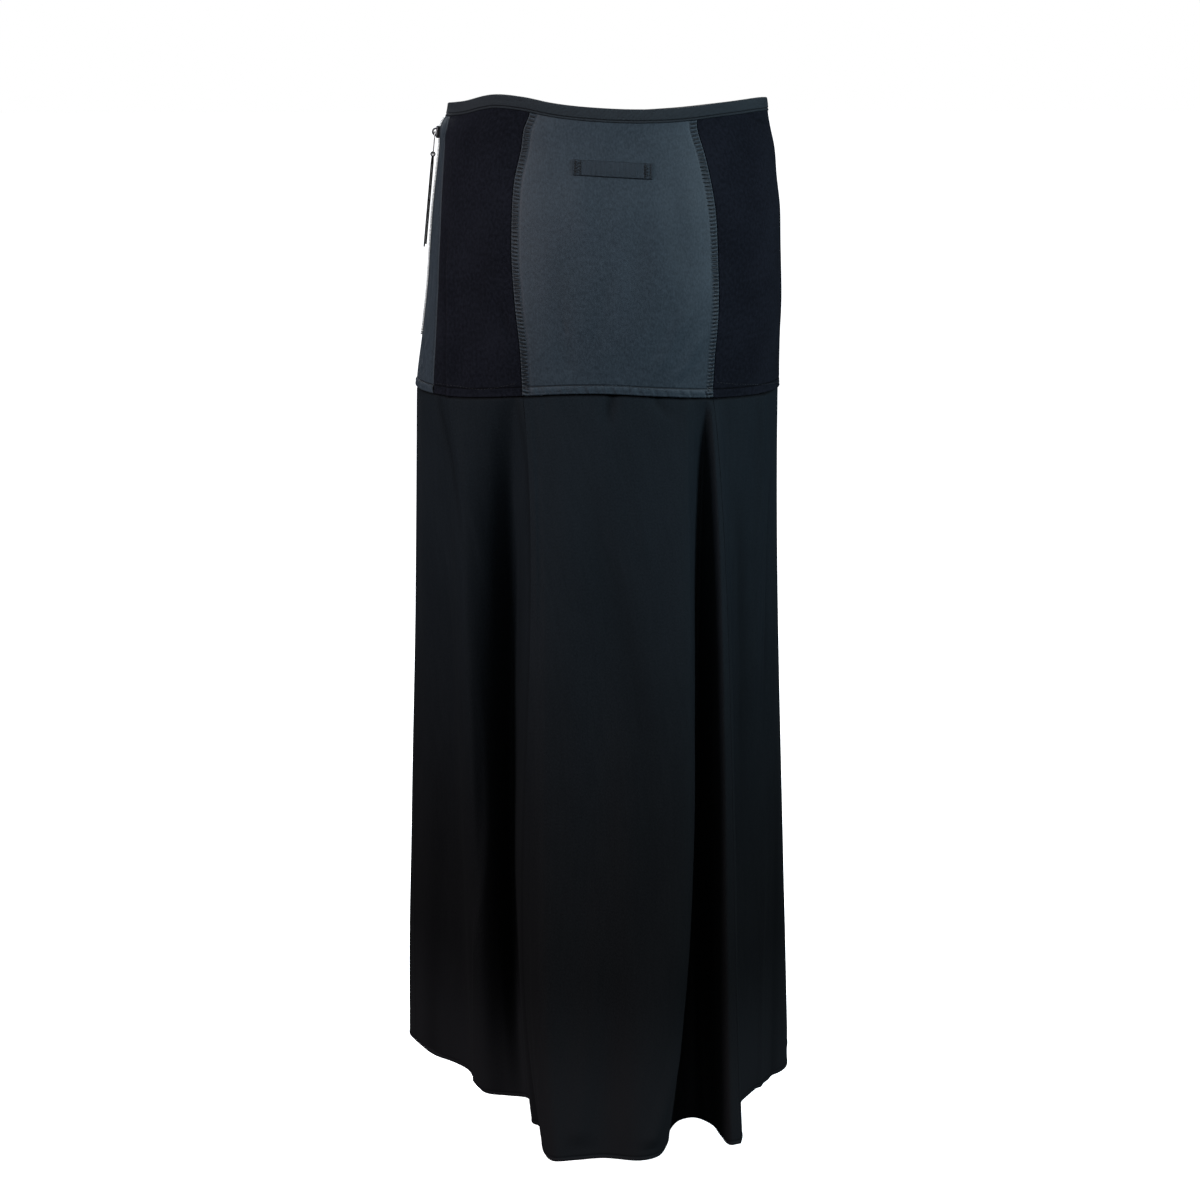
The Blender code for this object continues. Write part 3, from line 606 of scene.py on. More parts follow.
class Recipe:
    """The nodes of one procedural material, or of the studio's world, added one by one."""

    def __init__(self, name, kind="materials", last="Principled BSDF"):
        self.owner = getattr(bpy.data, kind).new(name)
        self.owner.use_nodes = True
        self.nodes = self.owner.node_tree.nodes
        self.links = self.owner.node_tree.links
        self.last = self.nodes[last]

    def node(self, kind, settings, inputs, output=0):
        """Adds a node, its settings first and then the values or links of its sockets; gives an output."""
        made = self.nodes.new(kind)
        for name, value in settings.items():
            setattr(made, name, value)
        for name, value in inputs.items():
            self.feed(made.inputs[name], value)
        return Socket(self, made.outputs[output])

    def feed(self, socket, value):
        """Links an output to a socket, or sets the socket's own value."""
        if isinstance(value, Socket):
            self.links.new(value.output, socket)
        else:
            socket.default_value = value

    def math(self, operation, first, second):
        """One Math node on two numbers or links."""
        return self.node("ShaderNodeMath", {"operation": operation}, {0: first, 1: second})

    def flat(self, across=1.0, down=1.0):
        """Places on the cloth's flat in metres, stretched by a factor each way."""
        flat = self.node("ShaderNodeUVMap", {"uv_map": "flat"}, {})
        return self.scaled(flat, (across, down, 1.0))

    def down(self):
        """Distance down the cloth from its top edge, in metres."""
        return self.node("ShaderNodeSeparateXYZ", {}, {0: self.flat()}, "Y")

    def place(self, factors=(1.0, 1.0, 1.0)):
        """Places in the object, in metres, stretched by a factor each way."""
        return self.scaled(self.node("ShaderNodeTexCoord", {}, {}, "Object"), factors)

    def scaled(self, vector, factors):
        """A vector multiplied by a factor each way."""
        return self.node("ShaderNodeVectorMath", {"operation": "MULTIPLY"}, {0: vector, 1: factors})

    def speckle(self, vector, scale, detail=2.0, roughness=0.5):
        """Noise from 0 to 1 about 0.5."""
        return self.node("ShaderNodeTexNoise", {}, {
            "Vector": vector, "Scale": scale, "Detail": detail, "Roughness": roughness}, "Fac")

    def threads(self, vector, scale, direction="X", distortion=0.0):
        """Even ribs from 0 to 1: a sine wave across one direction, scale ribs in 2 pi metres / 20."""
        return self.node("ShaderNodeTexWave", {"wave_type": "BANDS", "bands_direction": direction}, {
            "Vector": vector, "Scale": scale, "Distortion": distortion, "Detail": 1.0, "Detail Scale": 1.5})

    def ease(self, value, low, high):
        """0 up to low, 1 from high, and a soft step between them."""
        return self.node("ShaderNodeMapRange", {"interpolation_type": "SMOOTHSTEP"}, {
            "Value": value, "From Min": low, "From Max": high})

    def mix(self, factor, first, second):
        """Two colours, as links or (red, green, blue), mixed by a factor."""
        first, second = (c if isinstance(c, Socket) else (*c, 1.0) for c in (first, second))
        return self.node("ShaderNodeMix", {"data_type": "RGBA"}, {0: factor, 6: first, 7: second}, 2)

    def bump(self, height, distance, strength):
        """Normals tilted by a height from 0 to 1 that stands for a distance in metres."""
        return self.node("ShaderNodeBump", {}, {
            "Height": height, "Distance": distance, "Strength": strength}, "Normal")

    def with_painted_shade_and_sheen(self, colour, painted_shade_colour, wear_and_painted_sheen):
        """The colour of cloth with a painted shade where its shade-and-sheen value is near 1, and a painted
        sheen near -1.
        """
        painted_shade_and_sheen = self.node("ShaderNodeAttribute", {"attribute_name": "painted_shade_and_sheen"}, {}, "Fac")
        return self.mix(-1.0 * painted_shade_and_sheen, self.mix(painted_shade_and_sheen, colour, painted_shade_colour), wear_and_painted_sheen)

    def finish(self, inputs):
        """Feeds the last node its links and values; gives the material or the world."""
        for name, value in inputs.items():
            self.feed(self.last.inputs[name], value)
        return self.owner

    def surface(self, colour, roughness, height, depth, strength,
                specular=0.5, sheen=(0.0, 0.5), metallic=0.0):
        """A material of a colour, a roughness and a bump that vary, and of a gloss and a sheen that don't."""
        return self.finish({
            "Base Color": colour, "Roughness": roughness, "Metallic": metallic,
            "Normal": self.bump(height, depth, strength),
            "Specular IOR Level": specular, "Sheen Weight": sheen[0], "Sheen Roughness": sheen[1]})


def satin_cloth():
    """Heavy satin: short floats speckle it, with a faint cloudiness and a soft sheen."""
    m = Recipe("satin")
    floats = m.speckle(m.flat(1.0, 0.55), 620.0, 2.0, 0.6)
    pile = m.speckle(m.flat(), 190.0, 3.0, 0.6)
    cloud = m.speckle(m.flat(1.0, 0.5), 22.0, 2.0)
    tone = m.ease(0.5 * floats + 0.3 * pile + 0.2 * cloud, 0.30, 0.70)
    colour = m.mix(tone, (0.0100, 0.0150, 0.0200), (0.0230, 0.0320, 0.0410))
    # Painted shade in troughs, stitch grooves and rolled edges, and painted sheen on crease crests
    colour = m.with_painted_shade_and_sheen(colour, (0.0016, 0.0022, 0.0032), (0.050, 0.064, 0.078))
    twill = m.threads(m.flat(1.0, 0.6), 700.0, "DIAGONAL")
    relief = 0.6 * floats + 0.2 * twill
    return m.surface(colour, 0.5 + 0.12 * pile, relief, 0.25 * MM, 0.6, specular=0.15, sheen=(0.01, 0.5))


def jersey_cloth():
    """Dull black knit: fine upright wales, a soft nap and a faint grey cloudiness."""
    m = Recipe("jersey")
    wales = m.threads(m.flat(), 320.0, "X", 0.8)
    nap = m.speckle(m.flat(1.0, 0.7), 420.0, 3.0, 0.6)
    cloud = m.speckle(m.flat(), 14.0, 2.0)
    tone = m.ease(0.6 * nap + 0.4 * cloud, 0.35, 0.65)
    colour = m.mix(tone, (0.0026, 0.0030, 0.0048), (0.0066, 0.0074, 0.0110))
    # Painted shade in troughs, stitch grooves and rolled edges, and painted sheen on crease crests
    colour = m.with_painted_shade_and_sheen(colour, (0.0010, 0.0010, 0.0014), (0.022, 0.023, 0.029))
    relief = 0.5 * wales + 0.5 * nap
    return m.surface(colour, 0.82 + 0.1 * nap, relief, 0.3 * MM, 0.7, specular=0.03, sheen=(0.005, 0.6))


def crepe_cloth():
    """Thin black crepe: a pebbled grain and close threads, with painted light from above: blue-black at the
    top and black below.

    Close to the hem it is painted a little lighter, as light that falls there.
    """
    m = Recipe("crepe")
    pebble = m.speckle(m.flat(1.0, 0.8), 700.0, 2.0, 0.65)
    slub = m.speckle(m.flat(1.0, 0.12), 240.0, 2.0)
    cloud = m.speckle(m.flat(1.0, 0.5), 16.0, 3.0)
    tone = m.ease(0.6 * pebble + 0.15 * slub + 0.25 * cloud, 0.30, 0.70)
    # Painted light: upper is the lit, bluer colour under the yoke and lower the shaded black further down;
    # the last mix paints the stretch above the hem lighter again
    upper = m.mix(tone, (0.0036, 0.0053, 0.0070), (0.0072, 0.0096, 0.0121))
    lower = m.mix(tone, (0.0022, 0.0023, 0.0026), (0.0043, 0.0044, 0.0048))
    colour = m.mix(m.ease(m.down(), 0.05, 0.50), upper, lower)
    colour = m.mix(0.45 * m.ease(m.down(), 0.50, 0.64), colour, (0.0130, 0.0132, 0.0148))
    # Painted shade in troughs, stitch grooves and rolled edges, and painted sheen on crease crests
    colour = m.with_painted_shade_and_sheen(colour, (0.0006, 0.0007, 0.0009), (0.030, 0.035, 0.042))
    relief = 0.7 * pebble + 0.3 * slub
    return m.surface(colour, 0.66 + 0.12 * pebble, relief, 0.22 * MM, 0.6, specular=0.04, sheen=(0.005, 0.45))


def ribbon_cloth(name, light, dark):
    """Narrow ribbed ribbon: close upright ribs, lighter on their crowns and darker between them."""
    m = Recipe(name)
    ribs = m.threads(m.flat(), 290.0, "X", 0.4)
    fibre = m.speckle(m.flat(1.0, 0.6), 700.0, 2.0, 0.6)
    colour = m.mix(m.ease(0.5 * ribs + 0.5 * fibre, 0.25, 0.75), dark, light)
    # Painted shade in stitch grooves and rolled edges, and a painted sheen colour for crests
    colour = m.with_painted_shade_and_sheen(colour, (0.0014, 0.0018, 0.0024), (0.034, 0.042, 0.050))
    relief = 0.8 * ribs + 0.2 * fibre
    return m.surface(colour, 0.55 + 0.15 * fibre, relief, 0.3 * MM, 0.8, specular=0.1, sheen=(0.01, 0.5))


def zip_tape_cloth():
    """Black woven tape: slanting and cross ribs with a little dust in them."""
    m = Recipe("zip_tape")
    rib = m.threads(m.flat(), 520.0, "DIAGONAL")
    cross = m.threads(m.flat(), 300.0, "Y")
    dust = m.speckle(m.flat(), 260.0, 3.0)
    tone = m.ease(0.4 * rib + 0.3 * cross + 0.3 * dust, 0.3, 0.7)
    colour = m.mix(tone, (0.004, 0.004, 0.005), (0.013, 0.013, 0.014))
    return m.surface(colour, 0.78 + 0.12 * dust, 0.6 * rib + 0.4 * cross, 0.2 * MM, 0.8, specular=0.2)


def sewing_thread(name, colour):
    """Twisted thread: slanting plies, each darker in its groove."""
    m = Recipe(name)
    ply = m.speckle(m.place(), 1500.0, 2.0)
    dark = tuple(0.55 * c for c in colour)
    colour = m.mix(m.ease(ply, 0.3, 0.7), dark, colour)
    return m.surface(colour, 0.5 + 0.2 * ply, ply, 0.1 * MM, 0.5, specular=0.2)


def zip_metal(name, clean, grimy):
    """Zip metal: fine handling scratches, and duller grime in its hollows."""
    m = Recipe(name)
    scratch = m.speckle(m.place((1.0, 1.0, 7.0)), 420.0, 3.0, 0.7)
    grime = m.speckle(m.place(), 150.0, 3.0, 0.6)
    dull = m.ease(grime, 0.55, 0.75)
    colour = m.mix(dull, clean, grimy)
    roughness = 0.22 + 0.18 * scratch + 0.2 * dull
    return m.surface(colour, roughness, scratch, 0.08 * MM, 0.3, metallic=1.0 - 0.15 * dull)


def strip_leather():
    """Thin black leather: a close grain of cells, and greyer wear on raised spots."""
    m = Recipe("pull_leather")
    cells = m.node("ShaderNodeTexVoronoi", {"feature": "F1"}, {
        "Vector": m.place(), "Scale": 1500.0}, "Distance")
    wear = m.speckle(m.place(), 240.0, 4.0, 0.6)
    wear_and_painted_sheen = m.ease(wear, 0.55, 0.72)
    colour = m.mix(wear_and_painted_sheen, (0.0025, 0.0025, 0.0030), (0.0085, 0.0080, 0.0080))
    return m.surface(colour, 0.6 + 0.25 * wear_and_painted_sheen, 0.6 * cells + 0.4 * wear, 0.2 * MM, 0.7, specular=0.12)


def floor_paint():
    """Plain pale studio floor, with barely a tone in it."""
    m = Recipe("studio_floor")
    tone = m.speckle(m.place(), 1.5, 2.0)
    return m.finish({
        "Base Color": m.mix(tone, (0.86, 0.86, 0.86), (0.90, 0.90, 0.90)),
        "Roughness": 0.85 + 0.1 * tone,
        "Emission Color": (1.0, 1.0, 1.0, 1.0),
        "Emission Strength": 1.0,
        "Specular IOR Level": 0.1,
    })


SATIN_CLOTH = satin_cloth()
JERSEY_CLOTH = jersey_cloth()
CREPE_CLOTH = crepe_cloth()
BAND_RIBBON = ribbon_cloth("band_ribbon", (0.014, 0.018, 0.022), (0.006, 0.008, 0.010))
TAB_RIBBON = ribbon_cloth("tab_ribbon", (0.017, 0.023, 0.030), (0.008, 0.012, 0.016))
TAPE_CLOTH = zip_tape_cloth()
SATIN_THREAD = sewing_thread("satin_thread", (0.024, 0.033, 0.041))
DARK_THREAD = sewing_thread("dark_thread", (0.008, 0.009, 0.011))
BLACK_THREAD = sewing_thread("black_thread", (0.0030, 0.0036, 0.0045))
METAL = zip_metal("zip_metal", (0.36, 0.36, 0.35), (0.14, 0.14, 0.13))
SLIDER_METAL = zip_metal("slider_metal", (0.055, 0.055, 0.055), (0.016, 0.016, 0.016))
LEATHER = strip_leather()


# The yoke and the waistband

def beside(name, sign):
    """Edge of a yoke panel: the seam's angle, moved by half of what is left open to one side."""
    def edge(height):
        angle = seam_angle(name, height)
        return angle + sign * gap_angle(height, SEAM / 2, angle)
    return edge


def zip_edge(sign):
    """Edge of a side panel along the zip, closing to a seam below the zip's end."""
    def edge(height):
        below = np.clip((-height - ZIP_TOP - ZIP_LENGTH - ZIP_CLOSING / 2) / ZIP_CLOSING, 0.0, 1.0)
        half = ZIP_SLOT + (SEAM / 2 - ZIP_SLOT) * below
        return sign * gap_angle(height, half)
    return edge


def mirrored(edge):
    """The same edge on the other side of the zip."""
    return lambda height: 360.0 - edge(height)


def full_turn(edge):
    """The same edge, one turn further round."""
    return lambda height: 360.0 + edge(height)


def yoke_panel(from_angle, to_angle, width, across_step, down_step, finer=()):
    """Panel on the yoke surface between two edges, from under the waistband to the yoke seam.

    Each point's angle is a share of the way from edge to edge, and its height a share of the way between the
    two lines. Each depends on the other, so both are found in turn four times. Rows lie closer at the welt.
    width is the panel's rough width, which only spaces its columns.
    """
    depth = -line_height(YOKE_LINE, 0.0) - BAND_HEIGHT
    welt_rows = ((depth - 1.5 * WELT_HEIGHT, depth - EDGE_CLOSE, 0.5 * MM),)
    share = shares(depth, down_step, welt_rows)[:, None]
    across = shares(width, across_step, finer)[None, :]
    middle = -depth / 2
    angle = from_angle(middle) + (to_angle(middle) - from_angle(middle)) * across + 0 * share
    for _ in range(4):
        top = line_height(WAIST_LINE, angle) - BAND_HEIGHT - SEAM / 2
        bottom = line_height(YOKE_LINE, angle) + SEAM / 2
        height = top + (bottom - top) * share
        start, stop = from_angle(height), to_angle(height)
        angle = start + (stop - start) * across
    return Panel(body_point(angle, height))


def hem_over_seam(panel):
    """The yoke's foot: a turned edge with a bead, and a topstitched groove above it, both with painted shade.
    """
    panel.roll(panel.from_foot, radius=0.7 * MM)
    panel.lip(panel.from_foot, middle=1.2 * MM, reach=0.7 * MM, height=0.35 * MM)
    panel.press(panel.from_foot - WELT_HEIGHT, width=0.55 * MM, depth=0.5 * MM)


def welt(panel, seed):
    """On satin the strip between topstitch and seam is padded, and puckered by four waves along it.

    It swells as the root of a half sine from the seam to the topstitch.
    """
    share = np.clip(panel.from_foot / WELT_HEIGHT, 0.0, 1.0)
    swell = np.sqrt(np.clip(np.sin(pi * share), 0.0, 1.0))
    draw = np.random.default_rng(seed)
    wave = 0.0
    for pitch in (3.1, 4.7, 7.9, 12.3):
        slanting = panel.across + 0.4 * panel.from_foot
        wave = wave + np.sin(2 * pi * slanting / (pitch * MM) + draw.uniform(0, 2 * pi))
    panel.relief += swell * (0.9 * MM + 0.17 * MM * wave)


def side_lips(panel, left=0.0, right=0.0):
    """Panel edges along upright seams: rolled in, with a bead of the given height beside them."""
    for distance, height in ((panel.from_left, left), (panel.from_right, right)):
        panel.roll(distance, radius=0.6 * MM)
        panel.lip(distance, middle=1.3 * MM, reach=0.8 * MM, height=height)


def sew(name, parts, radius, lift, material):
    """One piece of thread from rows of starts, ends and normals, less any stitch cut short at a row's end."""
    starts, ends, normals = (np.concatenate(columns) for columns in zip(*parts))
    whole = np.linalg.norm(ends - starts, axis=-1) > SHORTEST_STITCH
    return stitches(name, starts[whole], ends[whole], normals[whole], radius, lift, material)


def ladder(panel, side, seed):
    """Rungs of the wide cover stitch inside an edge of the back panel: even rows with a seeded unevenness."""
    draw = np.random.default_rng(seed)
    down = np.arange(FIRST_RUNG, float(panel.length.mean()) - WELT_HEIGHT - 2 * MM, RUNG_PITCH)
    down = down + draw.normal(0.0, 0.15 * MM, len(down))
    width = panel.width_at(down)
    inner = RUNG_INNER + draw.normal(0.0, 0.35 * MM, len(down))
    outer = RUNG_OUTER + 0 * inner
    near, far = (outer, inner) if side == "left" else (width - outer, width - inner)
    starts, normals = panel.place(near, down)
    ends, _ = panel.place(far, down + draw.normal(0.0, 0.2 * MM, len(down)))
    return starts, ends, normals


def ladder_relief(panel):
    """Cloth under the ladders: a low strip beside each edge, drawn in at each rung by a raised cosine, with
    painted shade at the rungs.
    """
    for distance in (panel.from_left, panel.from_right):
        strip = ease(distance, 0.2 * MM, 0.9 * MM) * (1 - ease(distance, 5.8 * MM, 7.2 * MM))
        rung = 0.5 + 0.5 * np.cos(2 * pi * (panel.from_top - FIRST_RUNG) / RUNG_PITCH)
        panel.relief += (0.35 - 0.75 * rung) * MM * strip
        panel.painted_shade_and_sheen = np.maximum(panel.painted_shade_and_sheen, rung**2 * strip)
        panel.press(distance - 7.4 * MM, width=0.6 * MM, depth=0.3 * MM, shade=0.25)


def build_yoke():
    """The six panels between waistband and yoke seam, their ladders and their topstitching."""
    panels = {}
    ladder_columns = ((2.8 * MM, 9 * MM, 0.8 * MM), (176 * MM, 182.2 * MM, 0.8 * MM))
    p = panels["centre_back_satin"] = yoke_panel(
        beside("centre_left", 1), beside("centre_right", -1), 0.185, 1.7 * MM, 0.9 * MM, ladder_columns)
    side_lips(p, 0.3 * MM, 0.3 * MM)
    p.uneven(size=34 * MM, height=0.16 * MM, seed=3, stretch=1.8)
    p.crease(BACK_SATIN_CREASES)
    ladder_relief(p)
    welt(p, 5)
    hem_over_seam(p)
    cloth("centre_back_satin", p, SATIN, SATIN_CLOTH, "yoke_back_centre")
    sew("ladder_stitches", [ladder(p, "left", 11), ladder(p, "right", 12)], 0.48 * MM, 0.3 * MM, BLACK_THREAD)

    for name, node, edges, side in (
            ("side_satin_back", "side_panel_back", (zip_edge(1), beside("side_back", -1)), 1),
            ("side_satin_front", "side_panel_front",
             (mirrored(beside("side_back", -1)), full_turn(zip_edge(-1))), -1)):
        p = panels[name] = yoke_panel(*edges, 0.045, 1.3 * MM, 1.5 * MM)
        side_lips(p, 0.3 * MM, 0.3 * MM)
        seam_side, zip_side = (p.from_right, p.from_left) if side > 0 else (p.from_left, p.from_right)
        for distance in (seam_side - SEAM_TOPSTITCH, zip_side - ZIP_TOPSTITCH):
            p.press(distance, width=0.5 * MM, depth=0.3 * MM, shade=0.6)
        p.uneven(size=18 * MM, height=0.16 * MM, seed=21 + side, stretch=2.5)
        creases = dict(SIDE_SATIN_CREASES)
        if side < 0:
            for key in ("x0", "x1", "x2"):
                creases[key] = -creases[key]
            creases["before"], creases["after"] = creases["after"], creases["before"]
        p.crease(creases, keep_off=4 * MM)
        welt(p, 31 + side)
        hem_over_seam(p)
        cloth(name, p, SIDE_SATIN, SATIN_CLOTH, node)

    for name, node, edges, width, step, creases, seed in (
            ("left_back_jersey", "yoke_back_left", (beside("side_back", 1), beside("centre_left", -1)),
             0.085, 1.6 * MM, LEFT_JERSEY_CREASES, 41),
            ("right_back_jersey", "yoke_back_right", (beside("centre_right", 1), beside("right_side", -1)),
             0.115, 1.8 * MM, RIGHT_JERSEY_CREASES, 42),
            ("front_jersey", "yoke_front", (beside("right_side", 1), mirrored(beside("side_back", 1))),
             0.43, 3.2 * MM, FRONT_JERSEY_CREASES, 43)):
        p = panels[name] = yoke_panel(*edges, width, step, 2.0 * MM)
        side_lips(p)
        p.uneven(size=30 * MM, height=0.25 * MM, seed=seed, stretch=2.0)
        p.crease(creases, keep_off=3 * MM)
        hem_over_seam(p)
        cloth(name, p, JERSEY, JERSEY_CLOTH, node)

    satin_rows = [stitch_row(p, WELT_HEIGHT, "foot") for name, p in panels.items() if "satin" in name]
    dark_rows = [stitch_row(p, WELT_HEIGHT, "foot") for name, p in panels.items() if "jersey" in name]
    for distance, down_to, edges in (
            (SEAM_TOPSTITCH, 0.95, ("right", "left")), (ZIP_TOPSTITCH, 0.83, ("left", "right"))):
        for name, edge in zip(("side_satin_back", "side_satin_front"), edges):
            satin_rows.append(stitch_row(panels[name], distance, edge, (0.0, down_to)))
    sew("satin_topstitch", satin_rows, 0.22 * MM, 0.15 * MM, SATIN_THREAD)
    sew("jersey_topstitch", dark_rows, 0.22 * MM, 0.15 * MM, DARK_THREAD)


def build_waistband():
    """One ribbon round the waist, butted above the zip: it crowns by a half sine, between rolled edges."""
    end = gap_angle(0.0, LAY_GAP / 2)
    angle = np.linspace(end, 360.0 - end, 560)[None, :]
    foot_rows = ((BAND_HEIGHT - 3.3 * MM, BAND_HEIGHT - 1.2 * MM, 0.24 * MM),)
    share = shares(BAND_HEIGHT, 0.6 * MM, foot_rows)[:, None]
    height = line_height(WAIST_LINE, angle) - (BAND_HEIGHT - SEAM / 2) * share
    p = Panel(body_point(angle + 0 * share, height))
    p.points = p.points + BAND_PROUD * p.normal
    p.relief += 0.22 * MM * np.sin(pi * share) + 0 * angle
    p.roll(p.from_top, radius=1.15 * MM)
    p.roll(p.from_foot, radius=0.6 * MM)
    # The rolled top edge of the waistband gets no painted shade.
    p.painted_shade_and_sheen[p.from_top < 1.2 * MM] = 0.0
    p.press(p.from_foot - BAND_TOPSTITCH, width=0.4 * MM, depth=0.5 * MM)
    p.uneven(size=14 * MM, height=0.06 * MM, seed=51)
    cloth("waistband_ribbon", p, BAND_WALL, BAND_RIBBON, "waistband")


def build_tab():
    """Plain ribbon strip stitched across the top of the satin back panel.

    It is held down at both ends and arches by a half sine between them.
    """
    across = (shares(TAB_WIDTH, 0.7 * MM) - 0.5)[None, :]
    along = (shares(TAB_HEIGHT, 0.6 * MM) - 0.5)[:, None]
    height = -TAB_DROP - along * TAB_HEIGHT - across * TAB_WIDTH * sin(TAB_TILT)
    angle = TAB_ANGLE + gap_angle(height, across * TAB_WIDTH, TAB_ANGLE)
    grid = body_point(angle, height)
    normal = outward(grid)
    p = Panel(grid + (LAY_GAP + TAB_WALL) * normal, normal)
    for distance in (p.from_left, p.from_right, p.from_top, p.from_foot):
        p.roll(distance, radius=0.5 * MM)
    end = np.minimum(p.from_left, p.from_right)
    p.relief += 0.45 * MM * ease(end, 8 * MM, 16 * MM) * np.sin(pi * (along + 0.5))
    p.uneven(size=16 * MM, height=0.12 * MM, seed=61)
    rows = []
    for at in TAB_ROWS:
        for distance, edge in ((p.from_left, "left"), (p.from_right, "right")):
            p.press(distance - at, width=0.45 * MM, depth=0.22 * MM)
            rows.append(stitch_row(p, at, edge, pitch=2.2 * MM, gap=0.4 * MM))
    cloth("tab_ribbon", p, TAB_WALL, TAB_RIBBON, "back_tab")
    down = np.linspace(1.6 * MM, TAB_HEIGHT - 1.6 * MM, 8)
    zigzag = np.where(np.arange(len(down)) % 2 == 0, *TAB_ZIGZAG)
    for across in (zigzag, TAB_WIDTH - zigzag):
        starts, normals = p.place(across[:-1], down[:-1])
        ends, _ = p.place(across[1:], down[1:])
        rows.append((starts, ends, normals))
    sew("tab_stitches", rows, 0.34 * MM, 0.15 * MM, BLACK_THREAD)


# The skirt below the yoke

def fold_rows(folds, share):
    """Places of a panel's fold lines at each share of the way from the yoke seam to the hem.

    Each line's foot is approached as share**swing sideways and evenly in depth. Each bulge is 1 at its own
    third, the hollow toward the front is 1 halfway, and all are 0 at both ends.
    """
    share = share[:, None]
    top_height = line_height(YOKE_LINE, folds["top"])
    top_x, top_y = ring_point(folds["top"], -top_height)
    upper = folds["upper"] * BULGE * share * (1 - share)**2
    lower = folds["lower"] * BULGE * share**2 * (1 - share)
    x = top_x + (folds["hem_x"] - top_x) * share**folds["swing"] + upper + lower
    y = top_y + (folds["hem_y"] - top_y) * share - folds["hollow"] * 4 * share * (1 - share)
    height = top_height - SEAM / 2 + (-HEM_DROP - top_height + SEAM / 2) * share
    return np.stack((x, y, height), axis=-1)


def skirt_grid(folds, step):
    """Grid through the fold lines, about a step apart along the hem's curve, closer at seam and hem.

    A cubic curve runs through each row's places, its knots apart by the roots of the hem's chords.
    """
    length = HEM_DROP + line_height(YOKE_LINE, 90.0)
    seam_rows = (EDGE_CLOSE, 44 * MM, 2.2 * MM)
    hem_rows = (length - 9 * MM, length - EDGE_CLOSE, 0.8 * MM)
    share = shares(length, 5.5 * MM, (seam_rows, hem_rows))
    rows = fold_rows(folds, share)
    chord = np.linalg.norm(np.diff(rows[-1, :, :2], axis=0), axis=1)
    knots = np.concatenate(((0.0,), np.cumsum(chord**0.5)))
    across = shares(float(chord.sum()), step) * knots[-1]
    return np.stack([smooth(across, knots, row) for row in rows])


def mitred(normals):
    """Normals of panels that follow each other round the skirt, shared along the seams between them.

    The shared one halves the angle and is stretched by 1 / cos of that half, so that walls keep their width.
    """
    for index, left in enumerate(normals):
        right = normals[(index + 1) % len(normals)]
        shared = unit(left[:, -1] + right[:, 0])
        stretch = 1.0 / np.clip(np.sum(shared * left[:, -1], axis=-1, keepdims=True), 0.6, 1.0)
        left[:, -1] = shared * stretch
        right[:, 0] = shared * stretch
    return normals


def parted(points):
    """A panel's grid with its first and last column drawn back by half of what is left open."""
    points = points.copy()
    for edge, inner in ((0, 1), (-1, -2)):
        points[:, edge] += unit(points[:, inner] - points[:, edge]) * SEAM / 2
    return points


def build_skirt():
    """The four panels below the yoke, with their creases, puckered seam and turned hem."""
    panels = (
        ("left_back_crepe", "lower_back_left", LEFT_FOLDS, 3.0 * MM, LEFT_CREPE_CREASES, 71),
        ("centre_back_crepe", "lower_back_centre", CENTRE_FOLDS, 3.0 * MM, CENTRE_CREPE_CREASES, 72),
        ("right_back_crepe", "lower_back_right", RIGHT_FOLDS, 2.6 * MM, RIGHT_CREPE_CREASES, 73),
        ("front_crepe", "lower_front", FRONT_FOLDS, 3.6 * MM, FRONT_CREPE_CREASES, 74),
    )
    grids = [skirt_grid(folds, step) for _, _, folds, step, _, _ in panels]
    normals = mitred([level_rims(outward(grid)) for grid in grids])
    for (name, node, _, _, creases, seed), grid, normal in zip(panels, grids, normals):
        p = Panel(parted(grid), normal)
        p.uneven(size=46 * MM, height=0.35 * MM, seed=seed, stretch=4.0)
        p.crease(creases)
        # A recess beside the seam to the centre panel, with painted shade in it.
        if name == "left_back_crepe":
            recess = 1.5 * MM * ease(p.from_top, 0.0, 80 * MM)
            p.press(p.from_right - 5 * MM, width=5 * MM, depth=recess, shade=0.3)
        p.pucker(reach=14 * MM, pitch=9 * MM, height=-0.5 * MM, seed=seed + 10)
        # The top edge sinks under the yoke's foot, with a painted shadow there.
        p.press(p.from_top, width=1.7 * MM, depth=0.9 * MM)
        p.roll(p.from_left, radius=0.4 * MM)
        p.roll(p.from_right, radius=0.4 * MM)
        p.lip(p.from_foot, middle=1.2 * MM, reach=1.0 * MM, height=0.35 * MM)
        p.press(p.from_foot - HEM_TOPSTITCH, width=0.6 * MM, depth=0.25 * MM, shade=0.5)
        cloth(name, p, CREPE, CREPE_CLOTH, node)


# The zip and its pull

ACROSS_ZIP = np.array((0.0, 1.0, 0.0))


def zip_places(drops):
    """Points on the zip line, and the ways out from the cloth and up along it, as rows of numbers."""
    step = 2 * MM
    here, above, below = (body_point(0.0 * drops, d - drops) for d in (0.0, step, -step))
    up = unit(above - below)
    out = unit(np.cross(ACROSS_ZIP, up))
    return here, out, up


def zip_frame(drop):
    """Matrix on the zip line: X out from the cloth, Y across it, Z up along it."""
    here, out, up = (Vector(rows[0]) for rows in zip_places(np.array((drop,))))
    turned = Matrix((out, ACROSS_ZIP, up)).transposed().to_4x4()
    turned.translation = here
    return turned


def power(value, exponent):
    """The size of a number raised to a power, with the number's own sign."""
    return np.sign(value) * np.abs(value)**exponent


